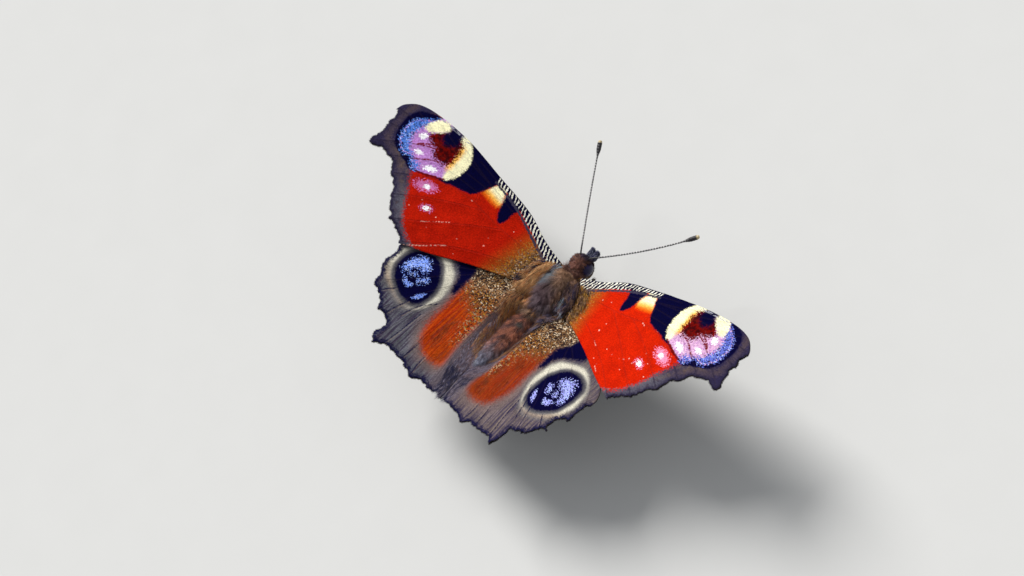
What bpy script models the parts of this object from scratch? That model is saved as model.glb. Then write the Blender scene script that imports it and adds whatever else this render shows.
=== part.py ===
"""Peacock butterfly at life size, standing on its legs with its wings raised in a shallow V.

Sizes are millimetres in the body frame: X to the insect's left, Y towards its tail, Z up, with
zero on the midline at the front and the level of the wing hinges. One empty carries every piece
and stands the insect on the floor. The sheet of each wing is drawn flat in its own plane, u
outwards from the hinge and v towards the head, and its object is tilted and swung into place.
"""
import math

import bmesh
import bpy
from mathutils import Matrix, Vector
from mathutils.geometry import delaunay_2d_cdt

MM = 0.001
GAP = 0.3                      # clearance between two named pieces that meet
FLOOR = -7.0                   # level of the floor under the hinges
REACH_FRONT = -15.95           # y of the foremost and the rearmost point
REACH_BACK = 22.90
LEFT = 1
RIGHT = -1
SIDE_NAMES = {LEFT: "left", RIGHT: "right"}

# Body profiles: y, half width, top and bottom of the coat at that station
HEAD_PROFILE = (
    (-3.35, 0.55, -0.35, -1.10),
    (-3.00, 0.92, 0.05, -1.50),
    (-2.30, 1.10, 0.40, -1.80),
    (-1.50, 1.12, 0.50, -1.85),
    (-0.80, 1.02, 0.38, -1.70),
    (-0.15, 0.85, 0.15, -1.45),
)
THORAX_PROFILE = (
    (0.15, 0.98, 0.20, -1.60),
    (0.70, 1.45, 0.52, -2.20),
    (1.60, 1.90, 0.85, -2.80),
    (2.90, 2.12, 1.02, -3.10),
    (4.20, 2.08, 0.98, -3.05),
    (5.30, 1.80, 0.80, -2.70),
    (6.10, 1.40, 0.52, -2.25),
)
ABDOMEN_PROFILE = (
    (6.40, 1.30, 0.48, -2.15),
    (7.60, 1.55, 0.85, -2.10),
    (9.20, 1.68, 1.15, -1.85),
    (11.00, 1.60, 1.35, -1.45),
    (13.00, 1.30, 1.52, -0.85),
    (14.80, 0.85, 1.60, -0.05),
    (16.10, 0.32, 1.42, 0.70),
)
BODY_SIDES = 20
BODY_ROUNDNESS = 2.2           # exponent of the cross-section: 2 is an ellipse
HEAD_RINGS = 9
THORAX_RINGS = 11
ABDOMEN_SEGMENTS = 8
SEGMENT_GROOVE = 0.045         # share of the radius lost between two abdomen rings

# Eyes: caps of a sphere on the flat sides of the head
EYE_RADIUS = 0.98
EYE_Y = -1.95
EYE_Z = -0.62
EYE_CUT = 1.12                 # distance of the eye's flat face from the midline
EYE_OUT = 1.72
HEAD_CHEEK = 0.82              # flat side of the head that the eye faces

# Palps, proboscis and antennae
PALP_ROOT = (0.36, -3.05, -0.90)
PALP_BEND = (0.42, -3.95, -0.92)
PALP_TIP = (0.46, -4.40, -0.66)
PALP_RADII = (0.30, 0.33, 0.16)
COIL_CENTRE = (0.0, -2.20, -2.95)
COIL_RADIUS = 0.95
COIL_INNER = 0.26
COIL_TURNS = 1.2
COIL_THICKNESS = 0.36
COIL_STEPS = 26
ANTENNA_ROOT = (0.70, -2.85)
ANTENNA_LIFT = 0.30
ANTENNA_MID = {LEFT: (5.5, -10.0, 1.15), RIGHT: (6.6, -8.0, 1.15)}
ANTENNA_TIP = {LEFT: (8.9, -15.6, 2.2), RIGHT: (11.4, -13.0, 2.2)}
ANTENNA_RADIUS = 0.25
CLUB_RADIUS = 0.42
CLUB_SHARE = 0.14              # share of the antenna's length that is the club
ANTENNA_STEPS = 22

# Legs: knee, ankle and toe of the walking legs, with the angle of the root round the thorax
WALKING_LEGS = {
    "mid": {"y": 2.3, "angle": -58.0, "knee": (5.2, 0.3, -1.6), "ankle": (8.0, -0.6, -6.35),
            "toe": (10.9, -2.1)},
    "hind": {"y": 4.6, "angle": -58.0, "knee": (4.7, 7.4, -1.5), "ankle": (6.6, 11.2, -6.35),
             "toe": (8.2, 14.2)},
}
BRUSH_LEG = {"y": 1.2, "angle": -64.0, "knee": (1.25, -0.3, -3.45), "toe": (1.0, -1.9, -3.35)}
FEMUR_RADII = (0.42, 0.36)
TIBIA_RADII = (0.33, 0.27)
TARSUS_RADII = (0.27, 0.25)
TARSUS_SINK = 0.07             # how far the underside of the foot is flattened
KNEE_ROUNDING = 0.9
LEG_STEP = 0.9

# Wings: hinge, tilt and swing
HINGE_X = 1.44
WING_TILT = {LEFT: 15.0, RIGHT: 16.2}
FORE_LEVEL = 0.20
HIND_LEVEL = -0.83
FORE_SWING = {LEFT: -1.4, RIGHT: 1.5}
HIND_SWING = {LEFT: 1.4, RIGHT: -1.2}
WING_THICKNESS = 0.50
WING_ARCH = 0.35               # rise of the sheet half way out
WING_LENGTH = 31.0
HIND_CURL = 1.3                # rise of the hind wing at its rear edge
HIND_CURL_FROM = -9.5
HIND_CURL_RUN = 13.0
BILLOW = 0.85                  # rise of the hind wing behind the fore wing's rear edge
BILLOW_INNER = 0.85            # what is added to it beside the abdomen
BILLOW_EDGE = {LEFT: (-3.2, -0.46), RIGHT: (-3.1, -0.36)}  # v of that edge at u = 0, and its slope
BILLOW_RUN = (0.8, 2.2)        # distance behind the edge where the rise starts, and over which it grows
BILLOW_SPAN = (9.0, 8.0)       # u where the inner part starts, and the distance over which it grows
BILLOW_FADE = (16.0, 7.0)      # distance to the rear where the rise starts to fade, and over which
BILLOW_LEFT_OVER = 0.25        # share that is left at the rear edge
VEIN_TOP = 0.16
VEIN_UNDER = 0.08
VEIN_HALF_WIDTH = 0.34
VEIN_STEP = 2.2
EDGE_STEP = 1.1
CLEAR_REACH = 0.35             # how far along the body the wing's edge looks for a wider place
FILL_STEP = 2.1
FILL_CLEAR = 0.9               # least distance of a fill point from any other
SEAM_HALF = 0.25               # half the gap between the hind wings behind the abdomen
SEAM_SHIFT = 0.45              # how far that gap lies to the left of the midline
SEAM_FROM = 16.0
SEAM_RUN = 3.5
SEAM_LIFT = {LEFT: 0.4, RIGHT: 0.7}  # extra rise of each hind wing towards the seam
SEAM_LIFT_REACH = (3.5, 4.5)   # u where that rise starts, and the distance over which it grows
SEAM_LIFT_RUN = (-13.0, 6.0)   # the same along v
INNER_FALL = 1.25              # how far a hind wing dips beside the front of the abdomen
INNER_FALL_REACH = 2.6         # u where the dip has run out
INNER_FALL_START = (4.5, 2.0)  # distance behind the hinge where it starts, and over which it grows
INNER_FALL_END = (18.5, 10.5)  # the same where it has run out, and over which it fades

# Fore wing: leading edge, margin points with the depth of the scallop that follows, rear edge
FORE_FRONT = ((3.4, 1.25), (7.8, 2.95), (13.6, 4.0), (20.0, 4.85), (25.4, 5.1), (28.6, 4.65), (30.3, 3.5))
FRONT_LIFT = {LEFT: 0.4, RIGHT: 0.0}  # the outer part of the left leading edge lies further forward
FRONT_LIFT_FROM = (12.0, 6.0)  # u where that starts, and the distance over which it grows
FORE_MARGIN = (
    ((30.8, 2.6), 0.25), ((30.6, 0.7), 0.22), ((30.4, -1.1), 0.08), ((30.75, -2.1), 0.0),
    ((30.55, -2.75), 0.0), ((29.9, -2.85), 0.08), ((28.4, -2.5), 0.12), ((27.2, -2.85), 0.32),
    ((25.3, -4.3), 0.30), ((23.6, -6.5), 0.30), ((21.4, -8.9), 0.25), ((18.2, -10.5), 0.0),
)
FORE_REAR = ((14.0, -8.95), (8.0, -6.4))
FORE_ROOT = (-0.2, 3.6)        # y of the front and the rear end of the root
FORE_VEINS = {
    "subcosta": ((1.2, -0.25), (7.0, 2.0), (12.5, 3.2), (17.2, 4.1)),
    "radius": ((1.2, -0.7), (7.5, 1.2), (14.0, 2.6), (21.6, 4.5)),
    "radius_2": ((14.0, 2.6), (19.0, 3.3), (24.6, 4.6)),
    "radius_3": ((19.0, 3.3), (24.0, 3.4), (28.2, 4.2)),
    "radius_4": ((24.0, 3.4), (27.5, 3.1), (30.2, 3.0)),
    "radius_5": ((19.0, 3.3), (24.5, 2.3), (30.1, 0.7)),
    "media_1": ((14.3, 1.9), (20.0, 1.7), (25.0, 0.8), (30.2, -2.3)),
    "media_2": ((14.5, 0.8), (19.5, 0.6), (23.2, -0.4), (27.0, -2.5)),
    "cell_end": ((14.0, 2.6), (14.5, 1.2), (14.1, -0.4)),
    "cubitus": ((1.2, -1.5), (6.0, -1.1), (10.5, -0.9), (14.1, -0.4)),
    "media_3": ((14.1, -0.4), (17.7, -0.7), (21.2, -1.8), (25.0, -4.0)),
    "cubitus_1": ((12.6, -0.65), (16.0, -2.1), (19.5, -3.9), (23.2, -6.2)),
    "cubitus_2": ((9.0, -0.95), (13.5, -3.7), (17.6, -6.5), (21.0, -8.6)),
    "anal": ((1.2, -2.6), (7.0, -4.2), (13.0, -6.9), (17.9, -10.1)),
}

# Hind wing: the same, with the notch before the tail as plain points
HIND_FRONT = ((4.5, -3.1), (9.5, -4.9), (14.0, -7.2), (16.8, -9.3))
HIND_MARGIN = (
    ((17.8, -11.6), 0.10), ((17.5, -14.8), 0.25), ((16.3, -17.1), 0.35), ((13.4, -19.4), 0.20),
    ((11.5, -19.8), 0.10), ((11.5, -21.4), -0.10), ((10.8, -22.8), 0.20), ((8.7, -22.1), 0.10),
    ((6.4, -22.2), 0.30), ((4.0, -22.9), 0.35), ((1.3, -22.3), 0.15),
)
BITTEN_BAY = 1                 # bay of the margin that is worn deeper on the right wing
BITE_DEPTH = {LEFT: 0.0, RIGHT: 0.9}
HIND_ROOT_Y = 2.3
HIND_REAR_Y = 22.2             # y of the corner where the two hind wings meet
HIND_VEINS = {
    "subcosta": ((1.2, -2.9), (7.5, -4.9), (13.8, -8.3), (17.5, -11.8)),
    "radius": ((1.2, -3.5), (6.8, -6.4), (13.0, -10.6), (17.2, -14.7)),
    "media_1": ((6.8, -6.4), (11.6, -12.0), (16.0, -16.8)),
    "media_2": ((7.0, -8.6), (10.4, -13.6), (13.1, -19.1)),
    "cell_end": ((6.8, -6.4), (7.0, -8.6), (5.9, -9.9)),
    "cubitus": ((1.2, -4.2), (3.6, -7.0), (5.9, -9.9)),
    "media_3": ((5.9, -9.9), (9.0, -14.8), (10.8, -22.3)),
    "cubitus_1": ((5.2, -9.1), (7.8, -14.5), (8.8, -21.7)),
    "cubitus_2": ((3.9, -7.4), (6.0, -14.0), (6.4, -21.8)),
    "anal": ((1.3, -5.0), (3.5, -12.0), (4.1, -22.4)),
    "anal_3": ((2.2, -8.8), (2.0, -15.0), (1.3, -21.9)),
}

COLOURS = {
    "head": (0.10, 0.045, 0.025), "thorax": (0.13, 0.075, 0.035), "abdomen": (0.09, 0.05, 0.035),
    "eye": (0.012, 0.012, 0.02), "palp": (0.05, 0.035, 0.04), "proboscis": (0.09, 0.05, 0.02),
    "antenna": (0.04, 0.04, 0.05), "leg": (0.06, 0.045, 0.035), "forewing": (0.52, 0.035, 0.008),
    "hindwing": (0.24, 0.06, 0.02),
}
GLOSSY = {"eye": 0.15, "antenna": 0.4, "proboscis": 0.35}


def clear_scene():
    for item in list(bpy.data.objects):
        bpy.data.objects.remove(item, do_unlink=True)


def material_for(name, kind):
    material = bpy.data.materials.new(name)
    material.use_nodes = True
    shader = material.node_tree.nodes["Principled BSDF"]
    shader.inputs["Base Color"].default_value = (*COLOURS[kind], 1.0)
    shader.inputs["Roughness"].default_value = GLOSSY.get(kind, 0.8)
    shader.inputs["Metallic"].default_value = 0.0
    return material


def add_object(name, kind, mesh, stand, collection, matrix=None):
    """Link the mesh as a named piece that hangs on the empty."""
    piece = bpy.data.objects.new(name, mesh)
    collection.objects.link(piece)
    piece.parent = stand
    if matrix is not None:
        piece.matrix_local = matrix
    mesh.materials.append(material_for(name, kind))
    mesh.shade_smooth()
    mesh.set_sharp_from_angle(angle=math.radians(50))
    return piece


def mesh_from(name, vertices, faces, mirror=False):
    """A mesh in metres, its normals turned outwards, mirrored to the right side on request."""
    sign = -1 if mirror else 1
    shape = bmesh.new()
    made = [shape.verts.new((sign * x * MM, y * MM, z * MM)) for x, y, z in vertices]
    for face in faces:
        shape.faces.new([made[i] for i in face])
    bmesh.ops.recalc_face_normals(shape, faces=shape.faces)
    mesh = bpy.data.meshes.new(name)
    shape.to_mesh(mesh)
    shape.free()
    return mesh


def smooth_value(rows, column, y):
    """Catmull-Rom through one column of a profile, read at y."""
    index = 0
    while index < len(rows) - 2 and y > rows[index + 1][0]:
        index += 1
    before = rows[max(index - 1, 0)]
    start = rows[index]
    end = rows[index + 1]
    after = rows[min(index + 2, len(rows) - 1)]
    t = min(max((y - start[0]) / (end[0] - start[0]), 0.0), 1.0)
    slope_start = (end[column] - before[column]) / (end[0] - before[0]) * (end[0] - start[0])
    slope_end = (after[column] - start[column]) / (after[0] - start[0]) * (end[0] - start[0])
    hermite_start = (1 + 2 * t) * (1 - t) ** 2 * start[column] + t * (1 - t) ** 2 * slope_start
    return hermite_start + t * t * (3 - 2 * t) * end[column] + t * t * (t - 1) * slope_end


def body_point(rows, y, angle, scale=1.0):
    """A point of the coat at station y, angle in radians from the left side towards the back."""
    half_width = smooth_value(rows, 1, y) * scale
    top = smooth_value(rows, 2, y)
    bottom = smooth_value(rows, 3, y)
    centre = (top + bottom) / 2
    half_height = (top - bottom) / 2 * scale
    power = 2 / BODY_ROUNDNESS
    across = math.copysign(abs(math.cos(angle)) ** power, math.cos(angle))
    up = math.copysign(abs(math.sin(angle)) ** power, math.sin(angle))
    return Vector((half_width * across, y, centre + half_height * up))


def body_normal(rows, y, angle):
    step = 0.01
    along = body_point(rows, y + step, angle) - body_point(rows, y - step, angle)
    around = body_point(rows, y, angle + step) - body_point(rows, y, angle - step)
    return along.cross(around).normalized()


def half_width_at(rows, y, z):
    """Half width of the body at station y and height z, nothing outside the body's length."""
    if not rows[0][0] <= y <= rows[-1][0]:
        return 0.0
    half_width = smooth_value(rows, 1, y)
    top = smooth_value(rows, 2, y)
    bottom = smooth_value(rows, 3, y)
    rise = abs(z - (top + bottom) / 2) / ((top - bottom) / 2)
    if rise >= 1:
        return 0.0
    return half_width * (1 - rise ** BODY_ROUNDNESS) ** (1 / BODY_ROUNDNESS)


def loft(rings):
    """Vertices and faces of a closed skin over rings of equal count, with flat ends."""
    count = len(rings[0])
    vertices = [point for ring in rings for point in ring]
    faces = [tuple(reversed(range(count)))]
    for ring in range(len(rings) - 1):
        for side in range(count):
            after = (side + 1) % count
            low = ring * count
            high = low + count
            faces.append((low + side, low + after, high + after, high + side))
    last = (len(rings) - 1) * count
    faces.append(tuple(last + side for side in range(count)))
    return vertices, faces


def body_rings(rows, stations, grooved=()):
    rings = []
    for index, y in enumerate(stations):
        scale = 1 - SEGMENT_GROOVE if index in grooved else 1.0
        ring = []
        for side in range(BODY_SIDES):
            ring.append(body_point(rows, y, math.tau * side / BODY_SIDES, scale))
        rings.append(ring)
    return rings


def even_stations(rows, count):
    first = rows[0][0]
    last = rows[-1][0]
    return [first + (last - first) * index / (count - 1) for index in range(count)]


def build_head(stand, collection):
    """The head, its cheeks cut flat where the eyes face it."""
    rings = body_rings(HEAD_PROFILE, even_stations(HEAD_PROFILE, HEAD_RINGS))
    for ring in rings:
        for point in ring:
            reach = math.hypot(point.y - EYE_Y, point.z - EYE_Z) / EYE_RADIUS
            limit = HEAD_CHEEK + 0.5 * max(0.0, reach - 1.0)
            point.x = max(-limit, min(limit, point.x))
    vertices, faces = loft(rings)
    add_object("head", "head", mesh_from("head", vertices, faces), stand, collection)


def build_thorax(stand, collection):
    rings = body_rings(THORAX_PROFILE, even_stations(THORAX_PROFILE, THORAX_RINGS))
    vertices, faces = loft(rings)
    add_object("thorax", "thorax", mesh_from("thorax", vertices, faces), stand, collection)


def build_abdomen(stand, collection):
    """The abdomen, with a shallow groove between each two of its rings."""
    stations = even_stations(ABDOMEN_PROFILE, 2 * ABDOMEN_SEGMENTS + 1)
    grooved = range(2, len(stations) - 1, 2)
    rings = body_rings(ABDOMEN_PROFILE, stations, grooved)
    vertices, faces = loft(rings)
    add_object("abdomen", "abdomen", mesh_from("abdomen", vertices, faces), stand, collection)


def build_eye(side, stand, collection):
    """An eye: the cap of a sphere, its flat face towards the cheek."""
    name = "eye_" + SIDE_NAMES[side]
    shape = bmesh.new()
    bmesh.ops.create_uvsphere(shape, u_segments=20, v_segments=12, radius=EYE_RADIUS * MM)
    bmesh.ops.rotate(shape, verts=shape.verts, matrix=Matrix.Rotation(math.pi / 2, 3, "Y"))
    centre = EYE_OUT - EYE_RADIUS
    geometry = list(shape.verts) + list(shape.edges) + list(shape.faces)
    cut = (EYE_CUT - centre) * MM * side
    bmesh.ops.bisect_plane(shape, geom=geometry, plane_co=(cut, 0, 0), plane_no=(-side, 0, 0),
                           clear_outer=True)
    bmesh.ops.holes_fill(shape, edges=[edge for edge in shape.edges if edge.is_boundary])
    bmesh.ops.recalc_face_normals(shape, faces=shape.faces)
    mesh = bpy.data.meshes.new(name)
    shape.to_mesh(mesh)
    shape.free()
    place = Matrix.Translation(Vector((side * centre, EYE_Y, EYE_Z)) * MM)
    add_object(name, "eye", mesh, stand, collection, place)


def tube_mesh(name, points, radii):
    """A tube through the points as a welded mesh, from a curve with filled caps."""
    data = bpy.data.curves.new(name, "CURVE")
    data.dimensions = "3D"
    data.bevel_depth = MM
    data.bevel_resolution = 2
    data.use_fill_caps = True
    data.resolution_u = 1
    spline = data.splines.new("POLY")
    spline.points.add(len(points) - 1)
    for point, place, radius in zip(spline.points, points, radii):
        point.co = (*(Vector(place) * MM), 1.0)
        point.radius = radius
    curve = bpy.data.objects.new(name + "_path", data)
    bpy.context.scene.collection.objects.link(curve)
    graph = bpy.context.evaluated_depsgraph_get()
    mesh = bpy.data.meshes.new_from_object(curve.evaluated_get(graph))
    bpy.data.objects.remove(curve, do_unlink=True)
    shape = bmesh.new()
    shape.from_mesh(mesh)
    bmesh.ops.remove_doubles(shape, verts=shape.verts, dist=0.01 * MM)
    bmesh.ops.recalc_face_normals(shape, faces=shape.faces)
    shape.to_mesh(mesh)
    shape.free()
    mesh.materials.clear()
    return mesh


def path_length(points):
    return sum((b - a).length for a, b in zip(points, points[1:]))


def path_point(points, distance):
    for start, end in zip(points, points[1:]):
        span = (end - start).length
        if distance <= span:
            return start.lerp(end, distance / span)
        distance -= span
    return points[-1].copy()


def spread(points, first, last, steps):
    """Points at even distances along part of a path."""
    return [path_point(points, first + (last - first) * i / steps) for i in range(steps + 1)]


def rounded_path(corners, rounding):
    """The corners joined by straight runs and rounded bends, and the distance of each bend."""
    corners = [Vector(corner) for corner in corners]
    points = [corners[0]]
    bends = []
    for before, corner, after in zip(corners, corners[1:], corners[2:]):
        reach = min(rounding, (before - corner).length / 2, (after - corner).length / 2)
        entry = corner + (before - corner).normalized() * reach
        leave = corner + (after - corner).normalized() * reach
        bend = []
        for step in range(7):
            t = step / 6
            bend.append(entry * (1 - t) ** 2 + corner * 2 * t * (1 - t) + leave * t * t)
        bends.append(path_length(points + bend[:4]))
        points.extend(bend)
    points.append(corners[-1])
    return points, bends


def smooth_path(points, steps):
    """A quadratic through three points, the middle one met half way."""
    start, middle, end = (Vector(point) for point in points)
    control = middle * 2 - (start + end) / 2
    path = []
    for step in range(steps + 1):
        t = step / steps
        path.append(start * (1 - t) ** 2 + control * 2 * t * (1 - t) + end * t * t)
    return path


def sided(point, side):
    return Vector((side * point[0], point[1], point[2]))


def build_palp(side, stand, collection):
    name = "palp_" + SIDE_NAMES[side]
    root = Vector(PALP_ROOT)
    front = HEAD_PROFILE[0][0]
    root.y = front - GAP
    path = smooth_path([sided(point, side) for point in (root, PALP_BEND, PALP_TIP)], 8)
    radii = [PALP_RADII[0] + (PALP_RADII[1] - PALP_RADII[0]) * min(1, 2 * i / 8) for i in range(9)]
    for index in range(5, 9):
        radii[index] = PALP_RADII[1] + (PALP_RADII[2] - PALP_RADII[1]) * (index - 4) / 4
    add_object(name, "palp", tube_mesh(name, path, radii), stand, collection)


def build_proboscis(stand, collection):
    """The tongue, rolled up under the head."""
    centre = Vector(COIL_CENTRE)
    points = []
    radii = []
    for step in range(COIL_STEPS + 1):
        share = step / COIL_STEPS
        angle = math.radians(80) - math.tau * COIL_TURNS * share
        radius = COIL_RADIUS + (COIL_INNER - COIL_RADIUS) * share
        points.append(centre + Vector((0, math.cos(angle), math.sin(angle))) * radius)
        radii.append(COIL_THICKNESS / 2 * (1 - 0.3 * share))
    add_object("proboscis", "proboscis", tube_mesh("proboscis", points, radii), stand, collection)


def build_antenna(side, stand, collection):
    """A thin shaft that ends in a blunt club."""
    name = "antenna_" + SIDE_NAMES[side]
    x, y = ANTENNA_ROOT
    angle = math.acos(min(1.0, (x / smooth_value(HEAD_PROFILE, 1, y)) ** (BODY_ROUNDNESS / 2)))
    root = body_point(HEAD_PROFILE, y, angle)
    normal = body_normal(HEAD_PROFILE, y, angle)
    start = root + normal * (GAP + ANTENNA_RADIUS * 0.4)
    bend = start + normal * ANTENNA_LIFT
    middle = Vector(ANTENNA_MID[side])
    tip = Vector(ANTENNA_TIP[side])
    whole = [start] + smooth_path((bend, middle, tip), 24)
    length = path_length(whole)
    points = [sided(point, side) for point in spread(whole, 0, length, ANTENNA_STEPS)]
    radii = []
    for step in range(ANTENNA_STEPS + 1):
        club = (step / ANTENNA_STEPS - (1 - CLUB_SHARE)) / CLUB_SHARE
        swell = math.sin(math.pi * min(1.0, max(0.0, club * 0.5 + 0.12))) if club > 0 else 0.0
        radii.append(ANTENNA_RADIUS + (CLUB_RADIUS - ANTENNA_RADIUS) * max(0.0, min(1.0, swell)))
    radii[-1] = CLUB_RADIUS * 0.55
    add_object(name, "antenna", tube_mesh(name, points, radii), stand, collection)


def leg_root(row, angle):
    """Where a leg leaves the thorax, a gap clear of it, and the direction it leaves in."""
    radians = math.radians(angle)
    normal = body_normal(THORAX_PROFILE, row, radians)
    return body_point(THORAX_PROFILE, row, radians) + normal * GAP, normal


def leg_piece(name, path, first, last, radii, side, stand, collection):
    steps = max(2, round((last - first) / LEG_STEP))
    points = [sided(point, side) for point in spread(path, first, last, steps)]
    widths = [radii[0] + (radii[1] - radii[0]) * i / steps for i in range(steps + 1)]
    mesh = tube_mesh(name, points, widths)
    for vertex in mesh.vertices:
        vertex.co.z = max(vertex.co.z, FLOOR * MM)
    add_object(name, "leg", mesh, stand, collection)


def build_walking_leg(pair, side, stand, collection):
    """Femur, tibia and tarsus of one leg, parted where the knee and the ankle bend."""
    sizes = WALKING_LEGS[pair]
    start, normal = leg_root(sizes["y"], sizes["angle"])
    foot = FLOOR + TARSUS_RADII[0] - TARSUS_SINK
    ankle = Vector(sizes["ankle"])
    heel = ankle.lerp(Vector((*sizes["toe"], foot)), 0.22)
    heel.z = foot
    toe = Vector((*sizes["toe"], foot))
    corners = (start, start + normal * 0.8, sizes["knee"], ankle, heel, toe)
    path, bends = rounded_path(corners, KNEE_ROUNDING)
    name = "leg_" + pair + "_" + SIDE_NAMES[side]
    knee = bends[1]
    joint = bends[2]
    half = GAP / 2
    end = path_length(path)
    leg_piece(name + "_femur", path, 0, knee - half, FEMUR_RADII, side, stand, collection)
    leg_piece(name + "_tibia", path, knee + half, joint - half, TIBIA_RADII, side, stand, collection)
    leg_piece(name + "_tarsus", path, joint + half, end, TARSUS_RADII, side, stand, collection)


def build_brush_leg(side, stand, collection):
    """The short foreleg that is folded forwards under the thorax and bears no weight."""
    start, normal = leg_root(BRUSH_LEG["y"], BRUSH_LEG["angle"])
    corners = (start, start + normal * 0.5, BRUSH_LEG["knee"], BRUSH_LEG["toe"])
    path, _ = rounded_path(corners, KNEE_ROUNDING / 2)
    name = "leg_fore_" + SIDE_NAMES[side]
    leg_piece(name, path, 0, path_length(path), (0.30, 0.25), side, stand, collection)


def wing_matrix(side, level, swing):
    """Place of a wing's own plane: its hinge, its tilt and its swing forwards or back."""
    hinge = Matrix.Translation(Vector((side * HINGE_X, 0, level)) * MM)
    tilt = Matrix.Rotation(-side * math.radians(WING_TILT[side]), 4, "Y")
    turn = Matrix.Rotation(-side * math.radians(swing), 4, "Z")
    return hinge @ tilt @ turn


def to_wing(side, matrix, x, y, lift):
    """The wing's own u and v at the body-frame point x, y, for a sheet raised by lift."""
    inverse = matrix.inverted()
    normal = matrix.to_3x3() @ Vector((0, 0, 1))
    origin = matrix.to_translation() / MM + normal * lift
    z = origin.z - ((side * x - origin.x) * normal.x + (y - origin.y) * normal.y) / normal.z
    local = inverse @ (Vector((side * x, y, z)) * MM) / MM
    return Vector((side * local.x, -local.y))


def curve_points(points, step):
    """Points every step along a Catmull-Rom curve through the given ones, ends included."""
    points = [Vector(point) for point in points]
    made = []
    for index in range(len(points) - 1):
        before = points[max(index - 1, 0)]
        start = points[index]
        end = points[index + 1]
        after = points[min(index + 2, len(points) - 1)]
        count = max(1, round((end - start).length / step))
        for part in range(count):
            t = part / count
            made.append(start * ((1 + 2 * t) * (1 - t) ** 2) + (end - before) * (0.5 * t * (1 - t) ** 2)
                        + end * (t * t * (3 - 2 * t)) + (after - start) * (0.5 * t * t * (t - 1)))
    made.append(points[-1])
    return made


def scalloped(margin, last):
    """The outer margin: a shallow bay between each two vein ends."""
    made = []
    ends = [Vector(point) for point, _ in margin] + [Vector(last)]
    for (_, depth), start, end in zip(margin, ends, ends[1:]):
        run = end - start
        inward = Vector((run.y, -run.x)).normalized()
        count = max(2, round(run.length / EDGE_STEP))
        for part in range(count):
            t = part / count
            made.append(start + run * t + inward * (depth * 4 * t * (1 - t)))
    return made


def vein_height(point, veins):
    """0 to 1: how near the point is to the crest of a vein."""
    best = 0.0
    for line in veins:
        for start, end in zip(line, line[1:]):
            run = end - start
            t = min(max((point - start).dot(run) / run.length_squared, 0.0), 1.0)
            distance = (point - start - run * t).length
            best = max(best, 1 - distance / VEIN_HALF_WIDTH)
    return best


def inside(point, outline):
    """True where the point is inside the outline."""
    crossings = False
    for a, b in zip(outline, outline[1:] + outline[:1]):
        if (a.y > point.y) != (b.y > point.y):
            if point.x < a.x + (point.y - a.y) * (b.x - a.x) / (b.y - a.y):
                crossings = not crossings
    return crossings


def edge_distance(point, outline):
    best = math.inf
    for start, end in zip(outline, outline[1:] + outline[:1]):
        run = end - start
        t = min(max((point - start).dot(run) / run.length_squared, 0.0), 1.0)
        best = min(best, (point - start - run * t).length)
    return best


def wing_net(outline, veins):
    """The flat triangles of a wing: its outline, each vein's crest and feet, and a loose fill."""
    points = list(outline)
    edges = [(i, (i + 1) % len(outline)) for i in range(len(outline))]
    for line in veins:
        offsets = (0.0, VEIN_HALF_WIDTH, -VEIN_HALF_WIDTH)
        for offset in offsets:
            previous = None
            for index, place in enumerate(line):
                ahead = line[min(index + 1, len(line) - 1)] - line[max(index - 1, 0)]
                normal = Vector((-ahead.y, ahead.x)).normalized()
                spot = place + normal * offset
                if not inside(spot, outline) or edge_distance(spot, outline) < 0.12:
                    previous = None
                    continue
                if offset and vein_height(spot, [other for other in veins if other is not line]) > 0.1:
                    previous = None
                    continue
                points.append(spot)
                if previous is not None:
                    edges.append((previous, len(points) - 1))
                previous = len(points) - 1
    low = Vector((min(p.x for p in outline), min(p.y for p in outline)))
    high = Vector((max(p.x for p in outline), max(p.y for p in outline)))
    rows = int((high.y - low.y) / FILL_STEP)
    columns = int((high.x - low.x) / FILL_STEP)
    for row in range(1, rows + 1):
        for column in range(columns + 1):
            spot = low + Vector(((column + 0.5 * (row % 2)) * FILL_STEP, row * FILL_STEP))
            if not inside(spot, outline) or edge_distance(spot, outline) < 0.7:
                continue
            if min((spot - other).length for other in points) > FILL_CLEAR:
                points.append(spot)
    found = delaunay_2d_cdt(points, edges, [list(range(len(outline)))], 1, 0.02)
    return found[0], found[2]


def wing_sheet(name, side, outline, lines, rise):
    """The solid of one wing: the flat net raised to its upper and its lower face."""
    veins = [curve_points(line, VEIN_STEP) for line in lines.values()]
    flat, triangles = wing_net(outline, veins)
    count = len(flat)
    top = []
    under = []
    for place in flat:
        ridge = vein_height(place, veins)
        level = rise(place)
        half = WING_THICKNESS / 2
        top.append((place.x, -place.y, level + half + VEIN_TOP * ridge))
        under.append((place.x, -place.y, level - half - VEIN_UNDER * ridge))
    faces = [tuple(face) for face in triangles]
    faces += [tuple(count + i for i in reversed(face)) for face in triangles]
    sides = {}
    for face in triangles:
        for a, b in zip(face, list(face[1:]) + [face[0]]):
            sides[(a, b)] = (b, a) not in sides
            if (b, a) in sides:
                sides[(b, a)] = False
    for (a, b), open_edge in sides.items():
        if open_edge:
            faces.append((b, a, a + count))
            faces.append((b, a + count, b + count))
    return mesh_from(name, top + under, faces, mirror=side == RIGHT)


def arch(place):
    """The spanwise rise that both wings of a side share, so that they keep their distance."""
    return WING_ARCH * math.sin(math.pi * min(max(place.x / WING_LENGTH, 0.0), 1.0))


def curl(v):
    """The lift of the hind wing towards its rear edge."""
    share = min(max((HIND_CURL_FROM - v) / HIND_CURL_RUN, 0.0), 1.2)
    return HIND_CURL * share * share


def ease(value):
    value = min(max(value, 0.0), 1.0)
    return value * value * (3 - 2 * value)


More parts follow.
